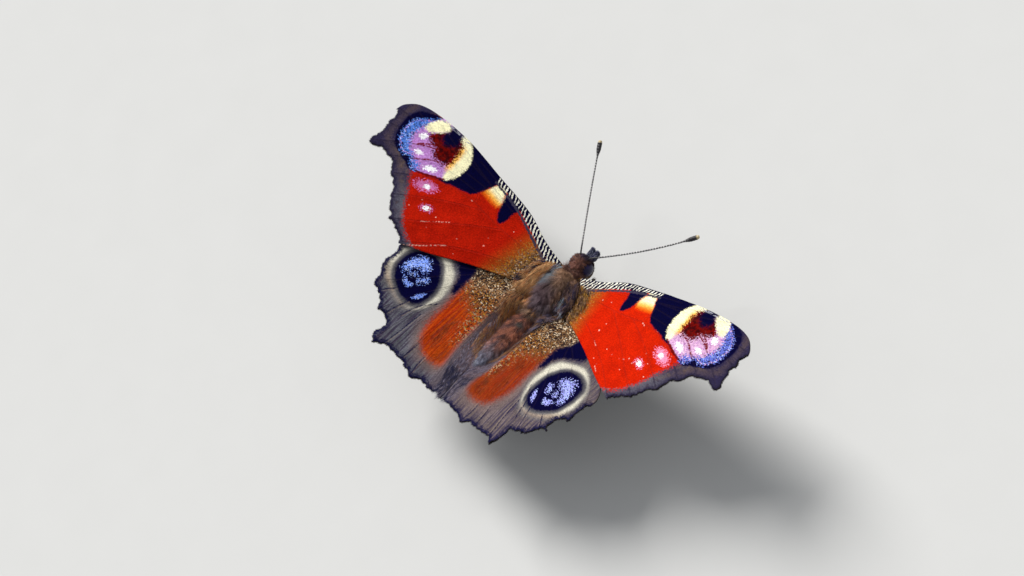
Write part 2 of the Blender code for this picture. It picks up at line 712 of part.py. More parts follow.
def billow(place, side):
    """The swell of a hind wing behind the fore wing, highest beside the abdomen."""
    start, slope = BILLOW_EDGE[side]
    behind = (start + slope * place.x - place.y) / math.hypot(1, slope)
    inner = BILLOW_INNER * ease((BILLOW_SPAN[0] - place.x) / BILLOW_SPAN[1])
    fade = 1 - (1 - BILLOW_LEFT_OVER) * ease((-place.y - BILLOW_FADE[0]) / BILLOW_FADE[1])
    return (BILLOW + inner) * ease((behind - BILLOW_RUN[0]) / BILLOW_RUN[1]) * fade


def inner_fall(place):
    """The dip of a hind wing beside the front of the abdomen."""
    near = ease((INNER_FALL_REACH - place.x) / INNER_FALL_REACH)
    start = ease((-place.y - INNER_FALL_START[0]) / INNER_FALL_START[1])
    end = ease((INNER_FALL_END[0] + place.y) / INNER_FALL_END[1])
    return INNER_FALL * near * start * end


def hind_rise(place, side):
    """The height of a hind wing's sheet over its own plane."""
    across = ease((SEAM_LIFT_REACH[0] - place.x) / SEAM_LIFT_REACH[1])
    along = ease((SEAM_LIFT_RUN[0] - place.y) / SEAM_LIFT_RUN[1])
    lifted = arch(place) + curl(place.y) + billow(place, side) + SEAM_LIFT[side] * across * along
    return lifted - inner_fall(place)


def body_clearance(side, y, z):
    """Distance from the midline at which a wing's edge keeps clear of the body or the other wing."""
    reach = 0.0
    for offset in (-CLEAR_REACH, 0.0, CLEAR_REACH):
        for rows in (HEAD_PROFILE, THORAX_PROFILE, ABDOMEN_PROFILE):
            for height in (z - WING_THICKNESS / 2, z, z + WING_THICKNESS / 2):
                reach = max(reach, half_width_at(rows, y + offset, height))
    seam = SEAM_HALF + side * SEAM_SHIFT * ease((y - SEAM_FROM) / SEAM_RUN)
    return max(reach + GAP, seam) if reach > 0 else seam


def root_edge(side, matrix, rise, first, last, step):
    """The wing's edge along the body, followed from the station first to last."""
    count = max(2, round(abs(last - first) / step))
    level = matrix.to_translation().z / MM
    made = []
    for part in range(count + 1):
        y = first + (last - first) * part / count
        place = Vector((0.0, -y))
        for _ in range(3):
            lift = rise(place)
            place = to_wing(side, matrix, body_clearance(side, y, level + lift), y, lift)
        made.append(place)
    return made


def build_forewing(side, stand, collection):
    name = "forewing_" + SIDE_NAMES[side]
    matrix = wing_matrix(side, FORE_LEVEL, FORE_SWING[side])
    root = root_edge(side, matrix, arch, FORE_ROOT[1], FORE_ROOT[0], EDGE_STEP)
    lifted = []
    for u, v in FORE_FRONT:
        lifted.append((u, v + FRONT_LIFT[side] * ease((u - FRONT_LIFT_FROM[0]) / FRONT_LIFT_FROM[1])))
    front = curve_points([root[-1]] + lifted + [FORE_MARGIN[0][0]], EDGE_STEP * 1.4)
    margin = scalloped(FORE_MARGIN[:-1], FORE_MARGIN[-1][0])
    rear = curve_points([FORE_MARGIN[-1][0]] + list(FORE_REAR) + [root[0]], EDGE_STEP * 1.6)
    outline = root[:-1] + front[:-1] + margin + rear[:-1]
    mesh = wing_sheet(name, side, outline, FORE_VEINS, arch)
    add_object(name, "forewing", mesh, stand, collection, matrix)


def build_hindwing(side, stand, collection):
    name = "hindwing_" + SIDE_NAMES[side]
    matrix = wing_matrix(side, HIND_LEVEL, HIND_SWING[side])

    def rise(place):
        return hind_rise(place, side)

    root = root_edge(side, matrix, rise, HIND_REAR_Y, HIND_ROOT_Y, EDGE_STEP)
    front = curve_points([root[-1]] + list(HIND_FRONT) + [HIND_MARGIN[0][0]], EDGE_STEP * 1.6)
    bays = list(HIND_MARGIN)
    corner, depth = bays[BITTEN_BAY]
    bays[BITTEN_BAY] = (corner, depth + BITE_DEPTH[side])
    margin = scalloped(bays, root[0])
    outline = root[:-1] + front[:-1] + margin
    mesh = wing_sheet(name, side, outline, HIND_VEINS, rise)
    add_object(name, "hindwing", mesh, stand, collection, matrix)


def main():
    clear_scene()
    collection = bpy.data.collections.new("peacock_butterfly")
    bpy.context.scene.collection.children.link(collection)
    stand = bpy.data.objects.new("stance", None)
    collection.objects.link(stand)
    stand.location = Vector((0, -(REACH_BACK + REACH_FRONT) / 2, -FLOOR)) * MM
    build_head(stand, collection)
    build_thorax(stand, collection)
    build_abdomen(stand, collection)
    build_proboscis(stand, collection)
    for side in (LEFT, RIGHT):
        build_eye(side, stand, collection)
        build_palp(side, stand, collection)
        build_antenna(side, stand, collection)
        build_brush_leg(side, stand, collection)
        build_walking_leg("mid", side, stand, collection)
        build_walking_leg("hind", side, stand, collection)
        build_forewing(side, stand, collection)
        build_hindwing(side, stand, collection)


main()
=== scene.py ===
"""Looks of a peacock butterfly at life size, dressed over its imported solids.

Sizes are millimetres in the insect's body frame, as in the part's source: X to its left, Y towards
its tail, Z up, with zero on the midline at the front and the level of the wing hinges. A wing is
drawn flat in its own plane, u outwards from the hinge and v towards the head.
"""
import math
from collections import namedtuple

import bpy
import numpy as np
from mathutils import Matrix, Vector
from mathutils.geometry import delaunay_2d_cdt


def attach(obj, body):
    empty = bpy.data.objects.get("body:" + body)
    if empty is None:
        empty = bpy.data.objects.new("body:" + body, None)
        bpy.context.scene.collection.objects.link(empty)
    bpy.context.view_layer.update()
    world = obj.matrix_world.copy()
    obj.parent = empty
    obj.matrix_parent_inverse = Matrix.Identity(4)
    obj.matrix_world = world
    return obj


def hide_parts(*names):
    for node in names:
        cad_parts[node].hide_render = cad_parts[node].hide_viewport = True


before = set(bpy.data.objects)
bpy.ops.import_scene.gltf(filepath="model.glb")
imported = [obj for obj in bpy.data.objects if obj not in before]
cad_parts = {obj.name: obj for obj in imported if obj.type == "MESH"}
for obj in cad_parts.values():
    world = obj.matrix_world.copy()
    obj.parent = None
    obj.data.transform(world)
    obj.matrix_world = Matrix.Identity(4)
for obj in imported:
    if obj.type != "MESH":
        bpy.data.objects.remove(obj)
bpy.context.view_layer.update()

MM = 0.001
LEFT = 1
RIGHT = -1
SIDES = (LEFT, RIGHT)
SIDE_NAMES = {LEFT: "left", RIGHT: "right"}
FLOOR = -7.0
STANCE = (0.0, -3.475, -FLOOR)     # body frame to the frame of the part

# Camera: its place, its lens and the directions that point right and up in the photograph
CAMERA_PLACE = (-162.715, 45.888, 247.933)
CAMERA_RIGHT = (-0.65425, -0.67949, -0.33205)
CAMERA_UP = (0.51383, -0.72153, 0.46408)
CAMERA_LENS = 85.586
SENSOR_WIDTH = 36.0

# Light and ground
KEY_DIRECTION = (0.72, -0.22, 0.64)
KEY_STRENGTH = 4.25
KEY_SPREAD = 30.0
KEY_COLOUR = (1.0, 0.985, 0.96)
SKY_STRENGTH = 0.42
SKY_COLOUR = (0.93, 0.96, 1.0, 1.0)
FLOOR_HALF = 900.0

# Wings: hinge, tilt, swing and the shape of the sheet, as in the solids
HINGE_X = 1.44
WING_TILT = {LEFT: 15.0, RIGHT: 16.2}
LEVEL = {"forewing": 0.20, "hindwing": -0.83}
SWING = {"forewing": {LEFT: -1.4, RIGHT: 1.5}, "hindwing": {LEFT: 1.4, RIGHT: -1.2}}
WING_ARCH = 0.35
WING_LENGTH = 31.0
HIND_CURL = 1.3
HIND_CURL_FROM = -9.5
HIND_CURL_RUN = 13.0
BILLOW = 0.85
BILLOW_INNER = 0.85
BILLOW_EDGE = {LEFT: (-3.2, -0.46), RIGHT: (-3.1, -0.36)}
BILLOW_RUN = (0.8, 2.2)
BILLOW_SPAN = (9.0, 8.0)
BILLOW_FADE = (16.0, 7.0)
BILLOW_LEFT_OVER = 0.25
SEAM_HALF = 0.10
SEAM_SHIFT = 0.45
SEAM_FROM = 16.0
SEAM_RUN = 3.5
SEAM_LIFT = {LEFT: 0.4, RIGHT: 0.7}
SEAM_LIFT_REACH = (3.5, 4.5)
SEAM_LIFT_RUN = (-13.0, 6.0)
INNER_FALL = 1.25
INNER_FALL_REACH = 2.6
INNER_FALL_START = (4.5, 2.0)
INNER_FALL_END = (18.5, 10.5)
FRONT_LIFT = {LEFT: 0.4, RIGHT: 0.0}
FRONT_LIFT_FROM = (12.0, 6.0)
BITTEN_BAY = 1
BITE_DEPTH = {LEFT: 0.0, RIGHT: 0.9}

# The thin membrane of the render inside the thicker solid
MEMBRANE_HALF = 0.06
MEMBRANE_SHIFT = {"forewing": -0.17, "hindwing": 0.17}
REAR_DROOP = 0.28                  # how far the fore wing's rear edge bends down to the hind wing
REAR_DROOP_REACH = 3.2
VEIN_RIDGE = 0.07
VEIN_WIDTH = 0.15
PLEAT_DEPTH = 0.035
PLEAT_HALF = 1.4
RIPPLE_DEPTH = 0.10
NET_STEP = 0.21
NET_ROW = 0.87                     # height of a row of the net, in steps
NET_BLOCK = 4000
EDGE_STEP = 0.13
LINE_STEP = 0.3
# Half widths of the lines that are drawn on the wings
LINE_HALF = {
    "streak": 0.1, "tan_line": 0.45, "scratch": 0.065, "under_zebra": 0.16, "dark_line": 0.09,
    "pale_line": 0.075,
}
FIELD_REACH = 3.0                  # markings keep their distances up to here
SCALE_GRID = (7.0, 12.0, 1.0)      # wing scales on each millimetre, across and along
SPECK_GRID = (5.8, 7.2, 1.0)
EDGE_ROUGH = 0.42
EDGE_SEED = {"forewing": 11, "hindwing": 21}
ROOT_SUNK = {"forewing": 0.7, "hindwing": 0.4}
TOOTH_TIP = (30.75, -2.3)          # the pointed corner of the fore wing, where the margin is smooth
TOOTH_REACH = 2.4

# Body profiles of the solids: y, half width, top and bottom of the coat
HEAD_PROFILE = (
    (-3.35, 0.55, -0.35, -1.1), (-3.0, 0.92, 0.05, -1.5), (-2.3, 1.1, 0.4, -1.8), (-1.5, 1.12, 0.5, -1.85),
    (-0.8, 1.02, 0.38, -1.7), (-0.15, 0.85, 0.15, -1.45),
)
THORAX_PROFILE = (
    (0.15, 0.98, 0.2, -1.6), (0.7, 1.45, 0.52, -2.2), (1.6, 1.9, 0.85, -2.8), (2.9, 2.12, 1.02, -3.1),
    (4.2, 2.08, 0.98, -3.05), (5.3, 1.8, 0.8, -2.7), (6.1, 1.4, 0.52, -2.25),
)
ABDOMEN_PROFILE = (
    (6.4, 1.3, 0.48, -2.15), (7.6, 1.55, 0.85, -2.1), (9.2, 1.68, 1.15, -1.85), (11.0, 1.6, 1.35, -1.45),
    (13.0, 1.3, 1.52, -0.85), (14.8, 0.85, 1.6, -0.05), (16.1, 0.32, 1.42, 0.7),
)
BODY_PROFILE = HEAD_PROFILE + THORAX_PROFILE + ABDOMEN_PROFILE
BODY_ROUNDNESS = 2.2
BODY_SIDES = 72
BODY_RINGS = 240
COAT_DEPTH = (
    (-3.4, 0.12), (-2.0, 0.12), (-0.6, 0.2), (1.0, 0.36), (4.5, 0.4), (6.4, 0.3), (9.0, 0.2), (14.0, 0.16),
    (16.1, 0.12),
)
# Colours of the coat: pairs that noise or the station blends, and bands of station, half length and strength
THORAX_TINTS = ((0.072, 0.044, 0.052), (0.200, 0.130, 0.090))
HEAD_TINTS = ((0.180, 0.074, 0.048), (0.058, 0.028, 0.032))
FLANK_TINTS = ((0.190, 0.086, 0.066), (0.140, 0.140, 0.195))
BARB_TINTS = ((0.265, 0.205, 0.225), (0.255, 0.270, 0.350))
BACK_TINTS = ((0.370, 0.140, 0.085), (0.090, 0.046, 0.044))
BROW_TINTS = ((0.200, 0.085, 0.055), (0.060, 0.032, 0.036))
LASH_TINT = (0.030, 0.020, 0.040)
FACE_TINT = (0.026, 0.022, 0.045)
BELLY_TINT = (0.09, 0.060, 0.045)
COLLAR_BAND = (0.2, 0.7, 0.75, (0.27, 0.150, 0.085))
LOIN_BAND = (5.9, 0.7, 0.80, (0.40, 0.190, 0.075))
# The near-black waist band is painted shade in the crease between thorax and abdomen
WAIST_SHADE_BAND = (6.75, 0.40, 0.85, (0.015, 0.012, 0.018))
# Patches of colour in the coat: centre and reach in x and y, and the tint. The blue-grey patch on the left
# shoulder is a painted sheen, and the navy patch on the right side is painted shade.
BODY_PATCHES = (
    ((1.1, 1.7), (1.1, 1.4), (0.11, 0.14, 0.17)), ((1.7, 1.2), (0.9, 1.2), (0.33, 0.19, 0.085)),
    ((2.0, 4.0), (0.8, 2.6), (0.46, 0.24, 0.095)), ((-1.4, 1.2), (0.9, 1.0), (0.15, 0.072, 0.05)),
    ((-1.9, 3.6), (0.7, 1.2), (0.026, 0.026, 0.055)), ((-0.3, 1.0), (0.8, 0.9), (0.22, 0.13, 0.085)),
    ((-1.2, 2.8), (1.0, 0.9), (0.22, 0.12, 0.07)), ((0.1, 3.3), (1.2, 1.5), (0.078, 0.05, 0.062)),
    ((0.5, 4.5), (1.0, 1.0), (0.135, 0.098, 0.112)), ((1.3, 5.0), (1.0, 1.4), (0.45, 0.2, 0.075)),
    ((-1.0, 4.9), (1.0, 1.0), (0.13, 0.1, 0.115)),
)
ABDOMEN_PATCHES = (
    ((-0.3, 8.6), (0.55, 0.5), (0.08, 0.07, 0.065)), ((0.4, 14.8), (0.28, 0.14), (0.75, 0.75, 0.8)),
    ((0.3, 15.4), (0.35, 0.3), (0.33, 0.33, 0.38)),
)
COAT_LIGHT = 1.35                  # how much paler the tips are than the coat looks, being half in shade
UNDERSIDE_SHARE = 0.32             # share of the hairs on the lower half of the body
SEGMENTS_FROM = 6.4
SEGMENT_LENGTH = 1.21
SEGMENT_GROOVE = 0.05
# Coats: span, hairs, their length, width, lift, clump size and pull, the seed, and the lie: the distance
# from the midline over which the hair turns outwards, the limit and the gain of that, and back and up
COATS = (
    ("head_coat", (-3.25, 0.0), 17000, (0.5, 0.036, 42.0, 0.3, 0.45), 501, (0.8, 9.0, 1.0, -0.3, 0.35)),
    ("collar_coat", (-0.8, 1.7), 17000, (1.35, 0.042, 54.0, 0.34, 0.4), 502, (1.0, 9.0, 0.9, 0.25, 0.2)),
    ("thorax_coat", (1.0, 6.6), 19800, (1.9, 0.046, 36.0, 0.5, 0.42), 503, (1.6, 1.0, 1.15, 1.0, 0.0)),
    ("abdomen_coat", (6.4, 16.0), 19700, (1.0, 0.036, 26.0, 0.3, 0.12), 504, (1.2, 1.0, 0.75, 1.0, 0.0)),
)

# Single hairs and the fringe of the margins
ROOT_DEPTH = 0.05                  # how deep a hair is rooted in the skin
TUFT_SHADE = (0.62, 1.25)          # from the root of a hair to its tip
TUFT_PATCH = 0.0015                # half width of a hair's patch in the bake map
HAIR_PROBE = 0.05                  # distance over which a wing's slope is read for its hair
FRINGE_STEP = 0.035
FRINGE_LENGTH = 0.26
FRINGE_WIDTH = 0.07
FRINGE_TINTS = ((0.030, 0.026, 0.034), (0.060, 0.050, 0.055), (0.020, 0.020, 0.030))

# Head parts
EYE_RADIUS = 0.98
EYE_SHAPE = (EYE_RADIUS, EYE_RADIUS, EYE_RADIUS * 1.04)
EYE_CENTRE = (0.74, -1.95, -0.62)
# The dome of an eye; BROW_HAIR has the number of hairs, their length, width and lift
EYE_RINGS = 48
EYE_SIDES = 72
EYE_OPENING = 0.72                 # share of the half turn that the dome covers
BROW_HAIR = (16000, 0.42, 0.034, 36.0)
BROW_EDGE = 0.30                   # how far out over an eye its hair reaches, in eye radii
PALP_PATH = ((0.33, -3.00, -0.88), (0.38, -3.95, -0.92), (0.42, -4.36, -0.68))
PALP_RADII = (0.30, 0.28, 0.08)
PALP_HAIR = (4200, 0.70, 0.038, 20.0)
PALP_SKIN = (0.020, 0.018, 0.030)
PALP_TINTS = ((0.020, 0.018, 0.060), (0.034, 0.028, 0.090), (0.024, 0.020, 0.060), (0.28, 0.30, 0.40))
COIL_CENTRE = (0.0, -2.20, -2.95)
COIL_RADIUS = 0.95
COIL_INNER = 0.26
COIL_TURNS = 1.8
COIL_THICKNESS = 0.15
COIL_LENGTH = 12.0                 # length over which the rings of the tongue are counted
ANTENNA_ROOT = (0.62, -2.75, 0.0)
ANTENNA_LIFT = (0.20, -0.35, 0.35)
ANTENNA_MID = {LEFT: (5.5, -10.0, 1.15), RIGHT: (6.6, -8.0, 1.15)}
ANTENNA_TIP = {LEFT: (8.9, -15.6, 2.2), RIGHT: (11.4, -13.0, 2.2)}
ANTENNA_RADIUS = 0.105
CLUB_RADIUS = 0.30
CLUB_SHARE = 0.15
ANTENNA_RING = 0.36

# Legs
WALKING_LEGS = {
    "mid": {"y": 2.3, "angle": -58.0, "knee": (5.2, 0.3, -1.6), "ankle": (8.0, -0.6, -6.35),
        "toe": (10.9, -2.1)},
    "hind": {"y": 4.6, "angle": -58.0, "knee": (4.7, 7.4, -1.5), "ankle": (6.6, 11.2, -6.35),
        "toe": (8.2, 14.2)},
}
BRUSH_LEG = {"y": 1.2, "angle": -64.0, "knee": (1.25, -0.3, -3.45), "toe": (1.0, -1.9, -3.35)}
FOOT_RADIUS = 0.12
LEG_RADII = (0.24, 0.36, 0.22, 0.25, 0.19, 0.14, 0.11)
BRUSH_RADII = (0.18, 0.20, 0.15, 0.06)
LEG_STEP = 0.09
HIP_DEPTH = 0.2                    # how deep a leg starts inside the body
TARSAL_RING = 0.75
# Spines of tibia and tarsus: where they stand off the middle of the leg, their length and thickness
TIBIA_SPINES = (0.2, 0.34, 0.035)
TARSUS_SPINES = (0.12, 0.16, 0.022)
# Hair: number, length, width and lift
LEG_HAIR = (2300, 0.28, 0.035, 20.0)
BRUSH_HAIR = (1700, 0.5, 0.04, 30.0)
LEG_TINTS = ((0.050, 0.036, 0.030), (0.095, 0.070, 0.050), (0.030, 0.026, 0.030))
BRUSH_TINTS = ((0.060, 0.042, 0.032), (0.11, 0.080, 0.055), (0.035, 0.028, 0.030))

# Fore wing outline: leading edge, margin with the depth of each bay, rear edge
FORE_FRONT = ((3.4, 1.25), (7.8, 2.95), (13.6, 4.0), (20.0, 4.85), (25.4, 5.1), (28.6, 4.65), (30.3, 3.5))
FORE_MARGIN = (
    ((30.8, 2.6), 0.25), ((30.6, 0.7), 0.22), ((30.4, -1.1), 0.08), ((30.75, -2.1), 0.0),
    ((30.55, -2.75), 0.0), ((29.9, -2.85), 0.08), ((28.4, -2.5), 0.12), ((27.2, -2.85), 0.32),
    ((25.3, -4.3), 0.3), ((23.6, -6.5), 0.3), ((21.4, -8.9), 0.25), ((18.2, -10.5), 0.0),
)
FORE_REAR = ((14.0, -8.95), (8.0, -6.4))
FORE_ROOT_Y = (3.6, -0.2)
FORE_VEINS = (
    ((1.2, -0.25), (7, 2), (12.5, 3.2), (17.2, 4.1)), ((1.2, -0.7), (7.5, 1.2), (14, 2.6), (21.6, 4.5)),
    ((14, 2.6), (19, 3.3), (24.6, 4.6)), ((19, 3.3), (24, 3.4), (28.2, 4.2)),
    ((24, 3.4), (27.5, 3.1), (30.2, 3)), ((19, 3.3), (24.5, 2.3), (30.1, 0.7)),
    ((14.3, 1.9), (20, 1.7), (25, 0.8), (30.2, -2.3)),
    ((14.5, 0.8), (19.5, 0.6), (23.2, -0.4), (27, -2.5)), ((14, 2.6), (14.5, 1.2), (14.1, -0.4)),
    ((1.2, -1.5), (6, -1.1), (10.5, -0.9), (14.1, -0.4)),
    ((14.1, -0.4), (17.7, -0.7), (21.2, -1.8), (25, -4)),
    ((12.6, -0.65), (16, -2.1), (19.5, -3.9), (23.2, -6.2)),
    ((9, -0.95), (13.5, -3.7), (17.6, -6.5), (21, -8.6)),
    ((1.2, -2.6), (7, -4.2), (13, -6.9), (17.9, -10.1)),
)

# Hind wing outline and veins
HIND_FRONT = ((4.5, -3.1), (9.5, -4.9), (14.0, -7.2), (16.8, -9.3))
HIND_MARGIN = (
    ((17.8, -11.6), 0.1), ((17.5, -14.8), 0.25), ((16.3, -17.1), 0.35), ((13.4, -19.4), 0.2),
    ((11.5, -19.8), 0.1), ((11.5, -21.4), -0.1), ((10.8, -22.8), 0.2), ((8.7, -22.1), 0.1),
    ((6.4, -22.2), 0.3), ((4.0, -22.9), 0.35), ((1.3, -22.3), 0.15),
)
HIND_ROOT_Y = (22.2, 2.3)
HIND_VEINS = (
    ((1.2, -2.9), (7.5, -4.9), (13.8, -8.3), (17.5, -11.8)),
    ((1.2, -3.5), (6.8, -6.4), (13, -10.6), (17.2, -14.7)), ((6.8, -6.4), (11.6, -12), (16, -16.8)),
    ((7, -8.6), (10.4, -13.6), (13.1, -19.1)), ((6.8, -6.4), (7, -8.6), (5.9, -9.9)),
    ((1.2, -4.2), (3.6, -7), (5.9, -9.9)), ((5.9, -9.9), (9, -14.8), (10.8, -22.3)),
    ((5.2, -9.1), (7.8, -14.5), (8.8, -21.7)), ((3.9, -7.4), (6, -14), (6.4, -21.8)),
    ((1.3, -5), (3.5, -12), (4.1, -22.4)), ((2.2, -8.8), (2, -15), (1.3, -21.9)),
)

# Markings of the fore wing, as closed outlines in u and v
FORE_SHAPES = {
    "margin": ((25, 6.8), (26, 5), (27.2, 4.2), (27.9, 3), (27.9, 1), (27, -0.3), (25.4, -1.2), (24, -2),
        (22.9, -3.3), (21.9, -4.9), (20.7, -6.9), (19.6, -8.2), (18.3, -9.2), (16.5, -9.9), (15, -10.3),
        (15, -14), (25, -14), (35, -8), (35, 8)),
    "zebra": ((0.5, 0.5), (2, -0.5), (4, 0.28), (6, 1.14), (8, 1.98), (10, 2.66), (12, 3.12), (13.7, 3.5),
        (13.8, 5.6), (9, 5.5), (3, 3.5)),
    "wedge": ((8.9, 2.5), (10.2, 3.1), (11.6, 3.2), (11.3, 1.6), (10.9, 0.4), (10.4, -0.35), (9.9, -0.6),
        (9.55, -0.2), (9.4, 0.7), (9.25, 1.6)),
    "cream_patch": ((12, 3.6), (11.7, 2.6), (11.4, 1.5), (11.6, 0.8), (13.2, 0.5), (15, 0.2), (14.5, 1),
        (13.9, 2.1), (13.4, 3.2), (12.9, 3.9)),
    "black": ((13.2, 3.7), (13.8, 2.4), (14.5, 1), (15.3, 0.05), (17, -0.4), (18.5, -0.7), (20, -1),
        (21.5, 1), (21, 5.5), (17, 6), (13.2, 5.6)),
    "frame": ((20, 6), (25.2, 5.5), (26.8, 5), (28, 4.4), (28.7, 3.4), (28.9, 2.2), (28.6, 0.6),
        (27.8, -0.8), (26.4, -1.5), (25, -1.9), (23.9, -2.35), (22.5, -2), (21, -1.5), (19.8, -1.05),
        (18.3, -0.6), (17.6, 2), (18.4, 4.6)),
    "disc": ((20.2, 5.4), (19, 4.4), (18.3, 3.4), (18.05, 2.4), (18.1, 1.2), (18.5, 0.2), (19.2, -0.5),
        (20.3, -1.05), (21.5, -1.45), (23, -1.95), (23.9, -1.95), (24.4, -1.45), (24.9, -0.85), (25.5, -1),
        (26.4, -1.05), (27.4, -0.4), (28, 0.8), (28.1, 2.2), (27.5, 3.4), (26.5, 4.2), (25.7, 4.7),
        (25, 5.5), (24.5, 6.2), (20.6, 6.2)),
    "blue": ((25.2, 4.9), (25.4, 3.9), (25.9, 3.3), (26.5, 2.7), (26.6, 1.8), (26.4, 0.9), (25.9, 0),
        (25.2, -0.5), (24.2, -0.9), (23.2, -1.2), (22.9, -1.9), (24, -2.3), (25.2, -1.8), (26.5, -1.5),
        (27.7, -0.7), (28.6, 0.8), (28.7, 2.2), (28, 3.7), (26.6, 4.7)),
    "cream_ring": ((20.2, 5.8), (19, 4.8), (18.1, 3.5), (17.8, 2.4), (17.9, 1.2), (18.3, 0), (19.1, -0.7),
        (19.7, -0.3), (19.75, 0.4), (19.95, 1.2), (20, 2.2), (20.2, 3.2), (20.7, 3.9), (21.3, 4.4),
        (21.4, 5.4)),
    "gold": ((19.8, 4.1), (20.5, 4), (20.7, 3.4), (20.5, 2.2), (20.4, 1.2), (19.9, 0.4), (19.6, 1),
        (19.55, 2.2), (19.6, 3)),
    "maroon": ((20.5, 4.1), (20.25, 3.2), (20.1, 2), (20.3, 1.1), (21.5, 0.85), (22.6, 1.1), (23.1, 2),
        (24.2, 2.3), (24.8, 2.8), (24.3, 3.5), (23.4, 4.2), (22.2, 4.6), (21.2, 4.6)),
    "core": ((20.9, 4.2), (21.2, 3.4), (22.2, 2.85), (23.1, 3.2), (23.5, 4), (23.1, 4.6), (23.3, 5.6),
        (21.5, 5.6), (21.1, 4.9)),
    "cream_top": ((23, 5.1), (23.2, 4.4), (23.9, 3.9), (24.6, 3.35), (25.3, 3.05), (26, 3.2), (25.8, 4.1),
        (25.2, 4.9), (24.2, 5.4)),
}
FORE_TAN_LINE = ((28.9, 4.6), (29.5, 3), (29.4, 1), (29.2, -0.6), (28, -1.6), (26.2, -2.2), (24.8, -2.9))
ZEBRA_STEP = 0.47
# A grey line painted as shade just behind the striped leading edge, shifted by this much
ZEBRA_SHADE_SHIFT = (0.1, -0.22)
FLECK_SHARE = {LEFT: 0.0016, RIGHT: 0.0040}
BASE_REACH = {LEFT: (9.3, 0.28), RIGHT: (8.6, 0.10)}   # how far the brown base runs out, and its slope
BASE_SPECKS = (("speck_gold", 0.22), ("speck_cream", 0.12), ("speck_dark", 0.42), ("rim", 0.14))
MARGIN_LIGHT = {LEFT: 0.95, RIGHT: 0.90}
# White spots and their halos: centre, half length, half width and slope in degrees
FORE_SPOTS = {
    "spot_1": (25.4, 2.1, 0.56, 0.45, -35.0), "spot_2": (24.4, 0.15, 0.55, 0.3, -10.0),
    "spot_3": (21.7, -0.65, 0.92, 0.38, -22.0), "spot_4": (20.3, -2.7, 0.46, 0.31, -18.0),
    "spot_5": (18.45, -4.85, 0.44, 0.3, -18.0), "halo": (20.55, -2.7, 1.45, 0.72, -20.0),
    "small_halo": (18.45, -4.85, 0.66, 0.42, -18.0),
}
FORE_STREAKS = (
    ((22.5, 1.9), (23.8, 1.5), (25.8, 0.55)), ((23, 2.25), (24.2, 1.7), (25.3, 0.95)),
    ((20.6, 0.95), (22.2, 0.4), (24.3, -0.9)), ((20.4, -1), (21.5, -1.5), (22.9, -2)),
    ((19.3, -0.6), (20.6, -1.2), (22, -1.85)),
)
FORE_SCRATCHES = {
    LEFT: (((14.8, -4.4), (16.2, -5.4), (17.8, -6.6)), ((13, -6.8), (15.4, -8.7), (17.7, -10.4))),
    RIGHT: (((10, -5.3), (10.8, -5.8)), ((12.8, -7.9), (13.6, -8.4))),
}

# Markings of the hind wing
HIND_SHAPES = {
    "ring": ((7.9, -13.2), (8, -11.9), (8.2, -10.8), (9, -9.6), (10.2, -8.7), (11.7, -8.1), (13.4, -8.2),
        (15.2, -9.4), (16.6, -10.9), (17.1, -12.4), (16.8, -14), (16.1, -15.4), (14.6, -16.3),
        (12.6, -17.1), (10.6, -17.2), (9.2, -16.2), (8.3, -14.7)),
    "oval": ((9.45, -14.2), (9.4, -13), (9.75, -11.8), (10.7, -10.6), (11.8, -9.75), (13, -9.5),
        (14.4, -9.95), (15.4, -10.85), (15.75, -12), (15.5, -13.2), (14.8, -14.5), (13.5, -15.4),
        (12, -16), (10.6, -15.9), (9.75, -15.3)),
    "bar": ((7.3, -11.6), (7.2, -10), (7.4, -8.5), (7.8, -7), (8.6, -5.4), (11, -5.6), (11.6, -7.3),
        (10.3, -8.1), (9.2, -9), (8.4, -10), (8, -11.2)),
    "blue_cap": ((11.9, -11.3), (12.4, -10.7), (13, -10.35), (13.8, -10.35), (14.5, -11), (14.9, -12),
        (14.85, -13), (14.35, -13.6), (13.9, -13), (13.5, -12.2), (12.9, -11.8), (12.2, -11.85)),
    "blue_low": ((12, -14.1), (12.3, -14.65), (12.9, -14.7), (13.7, -14.15), (13.9, -13.85), (13.3, -13.9),
        (12.7, -14.1)),
    "blue_side": ((9.85, -13.75), (10.05, -14.6), (10.45, -15.25), (11, -15.45), (10.85, -14.95),
        (10.4, -14.2)),
    "blue_specks": ((10.9, -12.4), (11.3, -13.1), (11.7, -13.5), (12, -13.2), (11.6, -12.5), (11.2, -12.2)),
    "blue_centre": ((12.6, -12.75), (13.1, -12.8), (13.4, -13.2), (13, -13.3)),
    "red": ((1.9, -8.5), (2, -14), (1.6, -17), (1.5, -18.8), (2.6, -19.6), (4.5, -19.5), (6, -18.6),
        (6.9, -17), (7.2, -15), (7.1, -13), (7.4, -10.5), (7.3, -8.5)),
    "speckle": ((1, -3), (4, -3.2), (7.8, -4.5), (8, -7.5), (7, -9.8), (4.5, -11), (2, -11.5), (1.4, -8)),
    "cluster": ((2, -4), (5, -4.4), (8, -5.8), (7.9, -8), (6.6, -8.8), (4.5, -8.2), (2.8, -7.4)),
    "strip": ((1.4, -8), (4.2, -8.5), (3.8, -12), (2.9, -15.8), (2.1, -15.5), (1.6, -12)),
    "inner": ((-3, -5), (1.2, -6), (1.7, -10), (1.7, -16), (1.3, -20), (1.2, -24), (-3, -24)),
    "beside": ((-3, -5), (0.9, -6), (1, -10), (0.7, -14), (-0.2, -16.5), (-3, -17)),
}
# Specks: the marking they fill, its softness and grain, and the share of each colour
HIND_SPECKS = (
    ("strip", 0.7, 1.2, ("speck_gold", 0.14), ("speck_dark", 0.24), ("speck_tan", 0.14)),
    ("speckle", 1.1, 1.6, ("speck_gold", 0.16), ("speck_cream", 0.1), ("speck_dark", 0.44)),
    ("cluster", 0.9, 1.2, ("speck_tan", 0.2), ("speck_cream", 0.28), ("speck_dark", 0.54)),
)
